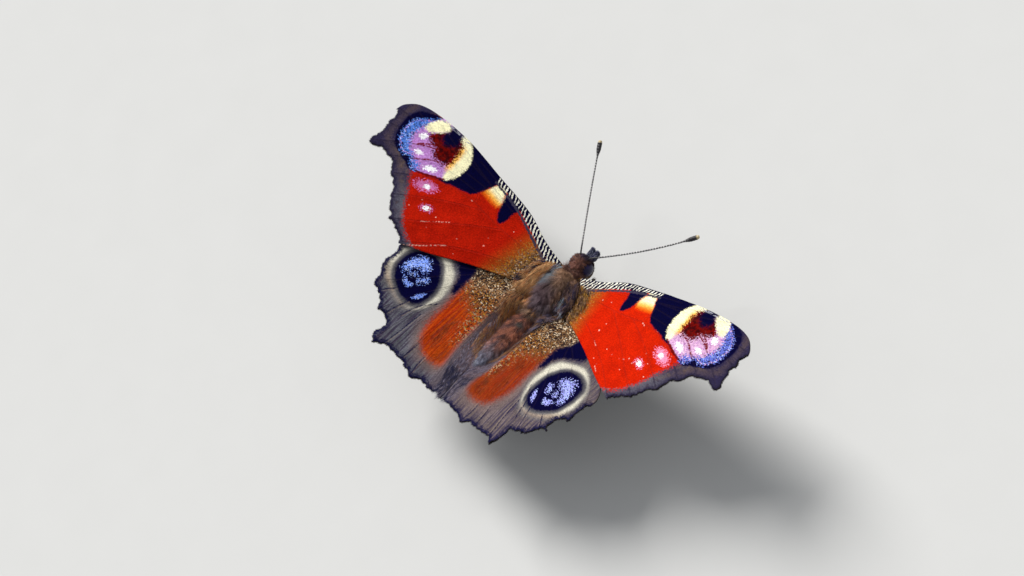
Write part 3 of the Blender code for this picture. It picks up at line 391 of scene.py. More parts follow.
# Blue lights of the eyespot, and the reach over which each thins out
HIND_LIGHTS = (
    ("blue_cap", 0.44), ("blue_low", 0.2), ("blue_side", 0.16), ("blue_specks", 0.42),
    ("blue_centre", 0.42),
)
# How far the painted highlight line lies beside each painted vein shade line
VEIN_HIGHLIGHT_SHIFT = (0.17, 0.0)
HIND_SHIFT = {LEFT: 0.32, RIGHT: -0.32}   # the eyespot lies a little further out on the left wing
# Veins at the hind wing's rear drawn as raised tubes in light: a painted shade line along each, and a
# painted highlight line beside it
HIND_VEIN_SHADE_LINES = (
    ((8.3, -13.8), (9.8, -15.7), (10.6, -18)), ((11.2, -16), (11.8, -17.6), (12.3, -19.2)),
    ((13.6, -15.8), (14.4, -16.7), (15.2, -17.8)), ((8.8, -16), (9.2, -19.5), (9.6, -22)),
    ((6.2, -19), (6.4, -20.8), (6.6, -22.3)), ((4.4, -19.7), (4.4, -21), (4.2, -22.2)),
)

# Colours in linear light
COLOURS = {
    "orange_brown": (0.33, 0.07, 0.008), "ink": (0.0008, 0.0006, 0.024), "cream": (0.97, 0.92, 0.58),
    "gold": (0.95, 0.5, 0.085), "orange": (0.84, 0.14, 0.006), "maroon": (0.15, 0.0024, 0.001),
    "maroon_dark": (0.04, 0.0008, 0.002), "fleck": (0.86, 0.42, 0.34), "white": (0.97, 0.95, 0.99),
    "tan": (0.12, 0.082, 0.07), "margin": (0.055, 0.043, 0.075), "margin_low": (0.122, 0.116, 0.142),
    "apex": (0.028, 0.022, 0.062), "violet": (0.36, 0.12, 0.42), "rim": (0.022, 0.018, 0.045),
    "line_grey": (0.045, 0.04, 0.07), "olive": (0.23, 0.11, 0.032), "pale_blue": (0.42, 0.52, 0.88),
    "zebra_white": (0.82, 0.8, 0.68), "costal_grey": (0.34, 0.34, 0.4),
    "speck_dark": (0.028, 0.016, 0.014), "speck_tan": (0.42, 0.29, 0.16), "speck_gold": (0.42, 0.2, 0.025),
    "speck_cream": (0.66, 0.52, 0.36), "ring_cream": (0.6, 0.57, 0.47), "ring_tan": (0.33, 0.255, 0.195),
    "ring_grey": (0.155, 0.148, 0.15), "navy": (0.008, 0.008, 0.04), "slate": (0.13, 0.105, 0.125),
    "brown": (0.15, 0.075, 0.062), "mauve": (0.17, 0.12, 0.115), "under": (0.06, 0.046, 0.038),
    "under_dark": (0.011, 0.009, 0.008), "under_pale": (0.125, 0.1, 0.096),
    "eye_dark": (0.005, 0.003, 0.034), "eye_violet": (0.017, 0.008, 0.06),
    "eye_pale": (0.026, 0.016, 0.085), "horn_dark": (0.045, 0.022, 0.01), "horn": (0.13, 0.07, 0.026),
    "shaft_dark": (0.012, 0.011, 0.016), "shaft": (0.035, 0.028, 0.03), "shaft_ring": (0.66, 0.65, 0.64),
    "club_tip": (0.5, 0.4, 0.22), "leg_dark": (0.028, 0.02, 0.02), "leg_brown": (0.085, 0.062, 0.045),
    "leg_pale": (0.22, 0.18, 0.14), "leg_grey": (0.045, 0.035, 0.04), "floor_dark": (0.6, 0.6, 0.59),
    "floor_pale": (0.62, 0.62, 0.61),
}
# Colours that differ from side to side, as the light falls on them in the photograph
RED = {LEFT: (0.47, 0.0105, 0.0016), RIGHT: (0.57, 0.0138, 0.0004)}
RED_DEEP = {LEFT: (0.40, 0.0080, 0.0015), RIGHT: (0.50, 0.0110, 0.0005)}
LILAC = {LEFT: (0.52, 0.25, 0.62), RIGHT: (0.66, 0.40, 0.60)}
BLUE = {LEFT: (0.085, 0.215, 0.72), RIGHT: (0.115, 0.150, 0.58)}
HIND_BLUE = {LEFT: (0.22, 0.36, 1.00), RIGHT: (0.36, 0.38, 0.92)}
PINK = {LEFT: (0.60, 0.17, 0.42), RIGHT: (0.80, 0.26, 0.42)}
HIND_GREY = {LEFT: (0.142, 0.142, 0.168), RIGHT: (0.165, 0.128, 0.126)}
HIND_RED = {LEFT: (0.33, 0.024, 0.002), RIGHT: (0.245, 0.022, 0.004)}
HIND_ORANGE = {LEFT: (0.43, 0.055, 0.004), RIGHT: (0.27, 0.037, 0.006)}

# Hair on the wings: where it grows, hairs on each square millimetre, length, heading in degrees and colours
HAIR_COLOURS = {
    "tan": (0.54, 0.3, 0.13), "rust": (0.5, 0.2, 0.07), "brown": (0.3, 0.165, 0.095),
    "plum": (0.23, 0.14, 0.135), "dark": (0.034, 0.026, 0.04), "gold": (0.56, 0.28, 0.05),
    "ash": (0.3, 0.36, 0.41), "slate": (0.28, 0.24, 0.32), "navy": (0.04, 0.04, 0.1),
    "russet": (0.4, 0.17, 0.095), "red_pale": (0.36, 0.06, 0.012), "red": (0.3, 0.04, 0.01),
    "red_brown": (0.24, 0.06, 0.02),
}
Zone = namedtuple("Zone", "outline density length heading colours lift width pull swirl loose",
                  defaults=(12.0, 0.05, 0.0, 0.6, 0.3))
SPECKLE_HAIR = Zone(
    ((-0.5, 0.6), (2.0, 0.5), (4.0, 0.0), (4.8, -2.0), (4.3, -4.4), (2.0, -4.8), (-0.5, -4.0)),
    22, 0.7, -40, "brown tan gold dark gold", loose=1.0)
FORE_HAIRS = {
    LEFT: (
        SPECKLE_HAIR,
        Zone(((0.8, 0.3), (1.5, 0.1), (2.1, -1.4), (2.4, -3.2), (2.9, -5.0), (2.6, -6.2), (1.2, -5.6),
              (0.2, -3.9), (0.6, -2.6), (0.7, -1.0)),
             240, 1.9, -84, "tan tan brown tan rust tan rust", lift=36, width=0.045, pull=0.35, swirl=0.3),
        Zone(((-0.3, 0.4), (0.7, 0.2), (0.8, -1.0), (0.6, -2.4), (0.2, -3.0), (-0.3, -2.8)),
             220, 1.3, -70, "ash slate navy ash brown slate", lift=38, width=0.045, pull=0.4),
        Zone(((2.0, -0.5), (2.9, -0.6), (3.3, -2.4), (3.6, -4.4), (3.2, -5.8), (2.4, -4.0), (2.0, -2.0)),
             110, 1.1, -72, "navy brown dark tan rust tan rust dark", lift=24, width=0.042, pull=0.4),
    ),
    RIGHT: (
        SPECKLE_HAIR,
        Zone(((-0.3, 0.3), (0.9, 0.0), (1.8, -1.2), (2.4, -2.8), (1.8, -3.4), (0.8, -2.2), (-0.3, -1.0)),
             230, 1.7, -58, "brown plum navy brown dark plum", lift=36, width=0.045, pull=0.4),
        Zone(((-0.3, -1.2), (0.8, -2.4), (1.9, -3.6), (2.6, -4.8), (2.0, -5.6), (0.6, -4.4), (-0.3, -3.6)),
             200, 1.7, -62, "plum brown dark slate plum navy ash", lift=34, width=0.045, pull=0.4),
        Zone(((1.2, 0.0), (2.6, -0.2), (4.0, -1.4), (3.9, -3.6), (3.0, -4.8), (2.6, -3.0), (1.9, -1.2)),
             110, 1.1, -34, "brown gold dark tan brown gold", lift=22, width=0.042, pull=0.4),
    ),
}
HIND_BASE_COLOURS = {LEFT: "tan rust tan rust brown", RIGHT: "brown plum dark slate navy"}
HIND_BASE_HAIR = Zone(((0.4, -4.6), (2.0, -4.2), (2.8, -5.4), (2.6, -7.6), (1.7, -8.8), (0.6, -8.2)),
                      110, 1.3, -98, "", lift=24, width=0.042, pull=0.35)
HIND_HAIRS = (
    Zone(((-2.0, -5.5), (0.8, -5.5), (1.6, -9.0), (1.6, -13.0), (0.6, -14.5), (-2.0, -14.5)),
         115, 1.1, -107, "russet russet brown tan russet slate tan", lift=18, width=0.036, pull=0.25,
         loose=0.6),
    Zone(((-2.0, -12.5), (1.0, -12.5), (2.2, -13.0), (1.9, -16.5), (0.8, -17.5), (-2.0, -17.5)),
         95, 0.9, -104, "slate slate plum slate slate plum", lift=10, width=0.034, pull=0.2, loose=0.7),
    Zone(((1.5, -16.8), (1.2, -19.0), (0.5, -21.6), (-1.3, -21.6), (-1.3, -16.8)),
         95, 0.8, -97, "navy slate navy navy dark", lift=6, width=0.034, pull=0.2, loose=0.7),
    Zone(((1.0, -3.5), (4.5, -3.8), (7.6, -5.4), (7.4, -8.0), (5.5, -9.5), (2.0, -9.5)),
         14, 0.55, -66, "brown tan dark gold tan"),
    Zone(((1.8, -9.5), (5.0, -9.5), (5.8, -15.0), (5.0, -18.0), (1.8, -17.5)),
         26, 1.0, -88, "red_pale red red_brown", lift=6, width=0.035, swirl=0.2),
)

# Mixing of whole numbers for the noise
HASH_SEED = 374761393
HASH_AXES = (668265263, 2246822519, 3266489917)
HASH_MIX = 1274126177


def ease(value):
    value = np.clip(value, 0.0, 1.0)
    return value * value * (3 - 2 * value)


def mix(first, second, share):
    share = np.asarray(share)[..., None]
    return np.asarray(first) * (1 - share) + np.asarray(second) * share


def unit(rows):
    """Each vector brought to a length of one."""
    return rows / np.maximum(np.linalg.norm(rows, axis=-1, keepdims=True), 1e-6)


def lattice_noise(places, size, seed):
    """Smooth random values from 0 to 1 over space, one blob about every size millimetres."""
    places = np.atleast_2d(places) / size
    base = np.floor(places).astype(np.int64)
    share = ease(places - base)
    total = np.zeros(len(places))
    dimensions = places.shape[1]
    for corner in range(2 ** dimensions):
        weight = np.ones(len(places))
        key = np.full(len(places), seed * HASH_SEED, np.int64)
        for axis in range(dimensions):
            bit = (corner >> axis) & 1
            weight = weight * (share[:, axis] if bit else 1 - share[:, axis])
            key = key + (base[:, axis] + bit) * HASH_AXES[axis]
        key = (key ^ (key >> 13)) * HASH_MIX
        key = key ^ (key >> 16)
        total += weight * ((key & 0xFFFF) / 65535.0)
    return total


def smooth_curve(points, step, closed=False):
    """Points every step along a Catmull-Rom curve through the given ones."""
    points = [np.array(point, float) for point in points]
    count = len(points)
    made = []
    for index in range(count if closed else count - 1):
        before = points[(index - 1) % count] if closed else points[max(index - 1, 0)]
        start = points[index]
        end = points[(index + 1) % count]
        after = points[(index + 2) % count] if closed else points[min(index + 2, count - 1)]
        parts = max(1, round(float(np.linalg.norm(end - start)) / step))
        for part in range(parts):
            t = part / parts
            made.append(start * ((1 + 2 * t) * (1 - t) ** 2) + (end - before) * (0.5 * t * (1 - t) ** 2)
                        + end * (t * t * (3 - 2 * t)) + (after - start) * (0.5 * t * t * (t - 1)))
    if not closed:
        made.append(points[-1])
    return np.array(made)


def line_distance(places, line):
    """Distance of each place from an open line."""
    best = np.full(len(places), np.inf)
    for start, end in zip(line[:-1], line[1:]):
        run = end - start
        offset = places - start
        t = np.clip(offset @ run / max(run @ run, 1e-12), 0, 1)
        best = np.minimum(best, np.hypot(*(offset - t[:, None] * run).T))
    return best


def lines_distance(places, lines, step=LINE_STEP):
    """Distance of each place from the nearest of some curves."""
    return np.min([line_distance(places, smooth_curve(line, step)) for line in lines], axis=0)


def region(places, outline):
    """Distance of each place from a closed outline, positive inside."""
    best = line_distance(places, np.vstack([outline, outline[:1]]))
    inside = np.zeros(len(places), bool)
    x, y = places.T
    for (ax, ay), (bx, by) in zip(outline, np.roll(outline, -1, axis=0)):
        if ay == by:
            continue
        crosses = (ay > y) != (by > y)
        inside ^= crosses & (x < ax + (y - ay) * (bx - ax) / (by - ay))
    return np.where(inside, best, -best)


def spot_field(places, spot):
    """Like region, for an ellipse given by centre, half length, half width and slope."""
    centre_u, centre_v, half_length, half_width, slope = spot
    angle = math.radians(slope)
    du = places[:, 0] - centre_u
    dv = places[:, 1] - centre_v
    along = (du * math.cos(angle) + dv * math.sin(angle)) / half_length
    across = (dv * math.cos(angle) - du * math.sin(angle)) / half_width
    return (1 - np.hypot(along, across)) * half_width


def arch(places):
    return WING_ARCH * np.sin(np.pi * np.clip(places[:, 0] / WING_LENGTH, 0, 1))


def hind_rise(places, side):
    """Height of a hind wing's sheet over its own plane: arch, curl, billow and the lift at the seam."""
    u, v = places.T
    share = np.clip((HIND_CURL_FROM - v) / HIND_CURL_RUN, 0, 1.2)
    start, slope = BILLOW_EDGE[side]
    behind = (start + slope * u - v) / math.hypot(1, slope)
    inner = BILLOW_INNER * ease((BILLOW_SPAN[0] - u) / BILLOW_SPAN[1])
    fade = 1 - (1 - BILLOW_LEFT_OVER) * ease((-v - BILLOW_FADE[0]) / BILLOW_FADE[1])
    billow = (BILLOW + inner) * ease((behind - BILLOW_RUN[0]) / BILLOW_RUN[1]) * fade
    across = ease((SEAM_LIFT_REACH[0] - u) / SEAM_LIFT_REACH[1])
    along = ease((SEAM_LIFT_RUN[0] - v) / SEAM_LIFT_RUN[1])
    lifted = arch(places) + HIND_CURL * share * share + billow + SEAM_LIFT[side] * across * along
    near = ease((INNER_FALL_REACH - u) / INNER_FALL_REACH)
    start = ease((-v - INNER_FALL_START[0]) / INNER_FALL_START[1])
    end = ease((INNER_FALL_END[0] + v) / INNER_FALL_END[1])
    return lifted - INNER_FALL * near * start * end


def sheet_rise(kind, side, places):
    return hind_rise(places, side) if kind == "hindwing" else arch(places)


def fore_droop(places):
    """How far the fore wing bends down towards its rear edge, to lie on the hind wing."""
    rear = smooth_curve(((18.2, -10.5),) + FORE_REAR + ((1.5, -3.6),), 0.8)
    return REAR_DROOP * ease(1 - line_distance(places, rear) / REAR_DROOP_REACH)


def wing_turn(kind, side):
    """Rotation and origin of a wing's own plane in the body frame."""
    swing = math.radians(-side * SWING[kind][side])
    tilt = math.radians(-side * WING_TILT[side])
    turn = np.array(Matrix.Rotation(tilt, 3, "Y") @ Matrix.Rotation(swing, 3, "Z"))
    return turn, np.array((side * HINGE_X, 0.0, LEVEL[kind]))


def wing_points(kind, side, places, lift):
    """Body-frame points of the wing's places, lifted over its sheet."""
    turn, origin = wing_turn(kind, side)
    height = sheet_rise(kind, side, places) + MEMBRANE_SHIFT[kind] + lift
    if kind == "forewing":
        height = height - fore_droop(places)
    flat = np.column_stack([side * places[:, 0], -places[:, 1], height])
    return flat @ turn.T + origin


def smooth_rows(rows, y):
    """Half width, top and bottom of a body profile at station y, by Catmull-Rom."""
    index = 0
    while index < len(rows) - 2 and y > rows[index + 1][0]:
        index += 1
    before = rows[max(index - 1, 0)]
    start = rows[index]
    end = rows[index + 1]
    after = rows[min(index + 2, len(rows) - 1)]
    run = end[0] - start[0]
    t = min(max((y - start[0]) / run, 0.0), 1.0)
    made = []
    for column in (1, 2, 3):
        slope_start = (end[column] - before[column]) / (end[0] - before[0]) * run
        slope_end = (after[column] - start[column]) / (after[0] - start[0]) * run
        value = (1 + 2 * t) * (1 - t) ** 2 * start[column] + t * (1 - t) ** 2 * slope_start
        made.append(value + t * t * (3 - 2 * t) * end[column] + t * t * (t - 1) * slope_end)
    return made


def half_width_at(y, z):
    """Half width of the body's coat at station y and height z."""
    if not BODY_PROFILE[0][0] <= y <= BODY_PROFILE[-1][0]:
        return 0.0
    half_width, top, bottom = smooth_rows(BODY_PROFILE, y)
    rise = abs(z - (top + bottom) / 2) / ((top - bottom) / 2)
    return half_width * max(0.0, 1 - rise ** BODY_ROUNDNESS) ** (1 / BODY_ROUNDNESS)


def root_edge(kind, side, first, last):
    """The wing's edge along the body in u and v, sunk into the body's coat."""
    turn, origin = wing_turn(kind, side)
    normal = turn @ np.array((0.0, 0.0, 1.0))
    made = []
    for y in np.linspace(first, last, max(2, round(abs(last - first) / 0.5)) + 1):
        place = np.array((0.0, -y))
        for _ in range(3):
            lift = float(sheet_rise(kind, side, place[None])[0])
            seam = SEAM_HALF + side * SEAM_SHIFT * float(ease((y - SEAM_FROM) / SEAM_RUN))
            x = side * max(half_width_at(y, LEVEL[kind] + lift) - ROOT_SUNK[kind], seam)
            base = origin + normal * lift
            z = base[2] - ((x - base[0]) * normal[0] + (y - base[1]) * normal[1]) / normal[2]
            local = turn.T @ (np.array((x, y, z)) - origin)
            place = np.array((side * local[0], -local[1]))
        made.append(place)
    return np.array(made)


def scalloped(margin, last):
    """The outer margin: a shallow bay between each two vein ends."""
    ends = [np.array(point, float) for point, _ in margin] + [np.array(last, float)]
    made = []
    for (_, depth), start, end in zip(margin, ends, ends[1:]):
        run = end - start
        inward = np.array((run[1], -run[0])) / np.linalg.norm(run)
        count = max(2, round(float(np.linalg.norm(run)) / EDGE_STEP))
        for part in range(count):
            t = part / count
            made.append(start + run * t + inward * (depth * 4 * t * (1 - t)))
    return np.array(made)


def roughened(line, seed):
    """Small uneven teeth on a margin, as its fringe scales leave them."""
    ahead = unit(np.gradient(line, axis=0))
    inward = np.column_stack([ahead[:, 1], -ahead[:, 0]])
    nicks = ease((lattice_noise(line, 0.55, seed + 1) - 0.35) / 0.3) * 0.5
    depth = lattice_noise(line, 1.1, seed) * 0.6 + nicks + lattice_noise(line, 0.25, seed + 2) * 0.5
    near_tooth = ease(1.25 - np.hypot(*(line - TOOTH_TIP).T) / TOOTH_REACH)
    depth = (depth - 0.25) * EDGE_ROUGH * (1 - 0.7 * near_tooth)
    return line + inward * depth[:, None]


def front_curve(side):
    """The leading edge of a fore wing."""
    lifted = []
    for u, v in FORE_FRONT:
        lifted.append((u, v + FRONT_LIFT[side] * float(ease((u - FRONT_LIFT_FROM[0]) / FRONT_LIFT_FROM[1]))))
    return lifted


def wing_outline(kind, side):
    """Outline of a wing, its outer margin alone, and its veins."""
    if kind == "forewing":
        root = root_edge(kind, side, *FORE_ROOT_Y)
        front = smooth_curve([root[-1]] + front_curve(side) + [FORE_MARGIN[0][0]], EDGE_STEP)
        margin = roughened(scalloped(FORE_MARGIN[:-1], FORE_MARGIN[-1][0]), EDGE_SEED[kind] + side)
        rear = smooth_curve([FORE_MARGIN[-1][0]] + list(FORE_REAR) + [root[0]], EDGE_STEP)
        whole = np.vstack([root[:-1], front[:-1], margin, rear[:-1]])
        return whole, margin, FORE_VEINS
    root = root_edge(kind, side, *HIND_ROOT_Y)
    front = smooth_curve([root[-1]] + list(HIND_FRONT) + [HIND_MARGIN[0][0]], EDGE_STEP)
    bays = list(HIND_MARGIN)
    corner, depth = bays[BITTEN_BAY]
    bays[BITTEN_BAY] = (corner, depth + BITE_DEPTH[side])
    margin = roughened(scalloped(bays, root[0]), EDGE_SEED[kind] + side)
    return np.vstack([root[:-1], front[:-1], margin]), margin, HIND_VEINS


def flat_net(outline, lines):
    """Places and triangles of a fine net inside the outline, closer at the veins."""
    low = outline.min(axis=0)
    high = outline.max(axis=0)
    rows = np.arange(low[1], high[1], NET_STEP * NET_ROW)
    columns = np.arange(low[0], high[0], NET_STEP)
    grid = np.array([(u + 0.5 * NET_STEP * (row % 2), v) for row, v in enumerate(rows) for u in columns])
    crests = np.vstack([smooth_curve(line, NET_STEP) for line in lines])
    near = np.full(len(grid), np.inf)
    for start in range(0, len(grid), NET_BLOCK):
        block = grid[start:start + NET_BLOCK]
        gaps = np.hypot(block[:, None, 0] - crests[None, :, 0], block[:, None, 1] - crests[None, :, 1])
        near[start:start + NET_BLOCK] = gaps.min(axis=1)
    grid = grid[near > NET_STEP * 0.55]
    places = np.vstack([grid, crests])
    places = places[region(places, outline) > NET_STEP * 0.45]
    points = [Vector(point) for point in np.vstack([outline, places])]
    count = len(outline)
    edges = [(index, (index + 1) % count) for index in range(count)]
    found = delaunay_2d_cdt(points, edges, [list(range(count))], 1, 0.005)
    return np.array([tuple(point) for point in found[0]]), np.array(found[2], int)


def open_sides(triangles):
    """The directed sides that only one triangle has."""
    sides = np.vstack([triangles[:, [0, 1]], triangles[:, [1, 2]], triangles[:, [2, 0]]])
    known = {(a, b) for a, b in sides.tolist()}
    return np.array([(a, b) for a, b in sides.tolist() if (b, a) not in known])


def new_mesh(name, points, triangles):
    """A mesh of triangles in the part's frame, from body-frame millimetres."""
    mesh = bpy.data.meshes.new(name)
    mesh.vertices.add(len(points))
    mesh.vertices.foreach_set("co", ((np.asarray(points) + STANCE) * MM).astype(np.float32).ravel())
    mesh.loops.add(len(triangles) * 3)
    mesh.loops.foreach_set("vertex_index", np.asarray(triangles, np.int32).ravel())
    mesh.polygons.add(len(triangles))
    mesh.polygons.foreach_set("loop_start", np.arange(0, len(triangles) * 3, 3, dtype=np.int32))
    mesh.update(calc_edges=True)
    mesh.validate()
    mesh.shade_smooth()
    return mesh


def skin_mesh(name, points, faces, origin=(0.0, 0.0, 0.0)):
    """A mesh whose noise and cells follow its own shape."""
    mesh = new_mesh(name, points, faces)
    set_vector(mesh, "along", np.asarray(points) - origin)
    return mesh


def add_piece(name, mesh, materials, replaced=()):
    """Link the mesh as a piece of the model that rides on its only body."""
    piece = bpy.data.objects.new(name, mesh)
    bpy.context.scene.collection.objects.link(piece)
    for material in materials:
        mesh.materials.append(material)
    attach(piece, "root")
    if replaced:
        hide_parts(*replaced)


def set_field(mesh, name, values):
    attribute = mesh.attributes.new(name, "FLOAT", "POINT")
    attribute.data.foreach_set("value", np.asarray(values, np.float32))


def set_vector(mesh, name, values):
    attribute = mesh.attributes.new(name, "FLOAT_VECTOR", "POINT")
    attribute.data.foreach_set("vector", np.asarray(values, np.float32).ravel())


def set_tint(mesh, colours):
    attribute = mesh.attributes.new("tint", "FLOAT_COLOR", "POINT")
    rgba = np.column_stack([colours, np.ones(len(colours))])
    attribute.data.foreach_set("color", rgba.astype(np.float32).ravel())


def set_bake_map(mesh, corner_places):
    """The UV map that the colours are baked to, one place for each corner of each triangle."""
    layer = mesh.uv_layers.new(name="OFBake")
    layer.data.foreach_set("uv", np.clip(corner_places, 0.001, 0.999).astype(np.float32).ravel())


class Painter:
    """Builds the nodes of one material.

    A name given as a colour is one of COLOURS; given as a number it is a field of the mesh.
    """

    def __init__(self, name, roughness, specular=0.3, sheen=0.0):
        self.material = bpy.data.materials.new(name)
        self.material.use_nodes = True
        self.tree = self.material.node_tree
        self.shader = self.tree.nodes["Principled BSDF"]
        self.shader.inputs["Roughness"].default_value = roughness
        self.shader.inputs["Specular IOR Level"].default_value = specular
        self.shader.inputs["Sheen Weight"].default_value = sheen
        self.shader.inputs["Sheen Roughness"].default_value = 0.4

    def put(self, socket, value):
        if isinstance(value, str):
            value = COLOURS[value] if socket.type == "RGBA" else self.field(value)
        if isinstance(value, bpy.types.NodeSocket):
            self.tree.links.new(value, socket)
        elif isinstance(value, (tuple, list)) and len(socket.default_value) == 4:
            socket.default_value = (*value, 1.0)
        else:
            socket.default_value = value

    def new(self, kind, **inputs):
        """A node with some of its inputs set; an underscore stands for a space in their names."""
        node = self.tree.nodes.new("ShaderNode" + kind)
        for name, value in inputs.items():
            self.put(node.inputs[name.replace("_", " ")], value)
        return node

    def field(self, name, output="Fac"):
        node = self.new("Attribute")
        node.attribute_name = name
        return node.outputs[output]

    def place(self, name, scale=(1.0, 1.0, 1.0), turn=0.0):
        """A vector field, stretched and turned."""
        turned = (0.0, 0.0, math.radians(turn))
        node = self.new("Mapping", Vector=self.field(name, "Vector"), Scale=scale, Rotation=turned)
        return node.outputs["Vector"]

    def math(self, operation, first, second=0.0):
        node = self.new("Math")
        node.operation = operation
        self.put(node.inputs[0], first)
        self.put(node.inputs[1], second)
        return node.outputs[0]

    def plus(self, first, second):
        return self.math("ADD", first, second)

    def minus(self, first, second):
        return self.math("SUBTRACT", first, second)

    def times(self, first, second):
        return self.math("MULTIPLY", first, second)

    def step(self, value, low, high, top=1.0):
        """0 below low, the top value above high and smooth between."""
        node = self.new("MapRange", Value=value, From_Min=low, From_Max=high, To_Max=top)
        node.interpolation_type = "SMOOTHSTEP"
        return node.outputs["Result"]

    def noise(self, place, scale, detail=2.0):
        return self.new("TexNoise", Vector=place, Scale=scale, Detail=detail).outputs["Fac"]

    def cells(self, place, scale=1.0):
        """Distance and the three random values of each cell of a Voronoi pattern."""
        node = self.new("TexVoronoi", Vector=place, Scale=scale)
        split = self.new("SeparateColor", Color=node.outputs["Color"])
        return node.outputs["Distance"], split.outputs[0], split.outputs[1], split.outputs[2]

    def blend(self, share, under, over, kind="MIX"):
        node = self.new("Mix")
        node.data_type = "RGBA"
        node.blend_type = kind
        self.put(node.inputs["Factor"], share)
        self.put(node.inputs[6], under)
        self.put(node.inputs[7], over)
        return node.outputs[2]

    def shaded(self, colour, light):
        """The colour made paler or darker by a number."""
        grey = self.new("CombineColor", Red=light, Green=light, Blue=light)
        return self.blend(1.0, colour, grey.outputs[0], "MULTIPLY")

    def bump(self, height, distance, strength=1.0):
        node = self.new("Bump", Height=height, Distance=distance * MM, Strength=strength)
        self.put(self.shader.inputs["Normal"], node.outputs["Normal"])

    def finish(self, colour):
        self.put(self.shader.inputs["Base Color"], colour)
        return self.material


class WingPainter(Painter):
    """A painter whose markings have edges made of whole scales."""

    def __init__(self, name):
        super().__init__(name, roughness=0.8, specular=0.02)
        self.flat = self.place("flat")
        self.relief, self.random, self.second, self.third = self.cells(self.place("flat", SCALE_GRID, 8.0))
        self.coarse = self.cells(self.place("flat", SPECK_GRID, -12.0))
        fine = self.minus(self.second, 0.5)
        broad = self.minus(self.noise(self.flat, 2.6, 3.0), 0.5)
        self.jag = self.plus(self.times(fine, 0.9), self.times(broad, 1.4))

    def frayed(self, value, reach):
        """A number made uneven from scale to scale."""
        return self.plus(value, self.times(self.jag, reach))

    def mask(self, field, soft=0.12, grain=0.16, top=1.0):
        """Where a marking covers the wing, its edge broken into scales."""
        return self.step(self.frayed(field, grain), -soft, soft, top)

    def lay(self, under, over, field, soft=0.12, grain=0.16, top=1.0):
        return self.blend(self.mask(field, soft, grain, top), under, over)

    def dusted(self, under, over, field, reach, random=None):
        """A marking whose edge thins out scale by scale over the reach."""
        chance = self.times(self.minus(random or self.second, 0.5), 2 * reach)
        return self.blend(self.step(self.plus(field, chance), -0.03, 0.03), under, over)

    def speckled(self, under, spread, *specks):
        """Coarse specks over a colour, each given by its colour and how much of the wing it covers."""
        for random, (colour, share) in zip((*self.coarse[1:], self.random), specks):
            picked = self.times(spread, self.step(random, 0.97 - share, 1.03 - share))
            under = self.blend(picked, under, colour)
        return under


def shape_fields(places, shapes):
    made = {}
    for name, points in shapes.items():
        inside = region(places, smooth_curve(points, LINE_STEP, closed=True))
        made[name] = np.clip(inside, -FIELD_REACH, FIELD_REACH)
    return made


def fore_fields(places, margin, side):
    """Every marking of the fore wing as a field, positive where it covers."""
    u, v = places.T
    fields = shape_fields(places, FORE_SHAPES)
    for name, spot in FORE_SPOTS.items():
        fields[name] = np.clip(spot_field(places, spot), -FIELD_REACH, FIELD_REACH)
    for name in ("blue", "cream_ring", "cream_top", "gold"):
        fields[name] = np.minimum(fields[name], fields["disc"] + 0.02)
    fields["streak"] = LINE_HALF["streak"] - lines_distance(places, FORE_STREAKS)
    fields["tan_line"] = LINE_HALF["tan_line"] - lines_distance(places, [FORE_TAN_LINE])
    costa = lines_distance(places, [[(1.2, 0.2)] + front_curve(side)], 0.4)
    fields["costa"] = np.clip(costa, 0, FIELD_REACH)
    fields["far_costa"] = np.minimum(u - 19.6, 25.6 - u)
    fields["apex"] = u - 27.2 + 0.22 * v
    fields["scratch"] = LINE_HALF["scratch"] - lines_distance(places, FORE_SCRATCHES[side])
    fields["rim"] = np.clip(line_distance(places, margin), 0, FIELD_REACH)
    reach, slope = BASE_REACH[side]
    fields["base"] = (reach - u) - slope * (v + 2)
    fields["patch_glow"] = v - 0.18 * (u - 13)
    fields["rearward"] = -v
    # A painted shade line just behind the stripes of the leading edge
    stripes = smooth_curve(FORE_SHAPES["zebra"][1:8], LINE_STEP) + ZEBRA_SHADE_SHIFT
    fields["under_zebra"] = LINE_HALF["under_zebra"] - line_distance(places, stripes)
    fields["stripe"] = u * 0.94 - v * 0.34
    return fields


def paint_fore_margin(paint, side):
    """Colour of the fore wing's outer margin."""
    band = paint.blend(paint.step(paint.noise(paint.flat, 1.1, 4.0), 0.44, 0.68), "margin", "tan")
    cloud = paint.step(paint.noise(paint.flat, 1.4, 3.0), 0.28, 0.50)
    band = paint.blend(paint.times(paint.step("rearward", 3.2, 6.5), cloud), band, "margin_low")
    band = paint.lay(band, "apex", "apex", 1.2, 0.8)
    band = paint.lay(band, "tan", "tan_line", 0.36, 0.6, 0.48)
    rim = paint.frayed("rim", 0.34)
    band = paint.blend(paint.step(rim, 1.5, 0.3, 0.5), band, "apex")
    band = paint.blend(paint.step(rim, 0.46, 0.08), band, "rim")
    return paint.blend(1.0, band, (MARGIN_LIGHT[side],) * 3, "MULTIPLY")


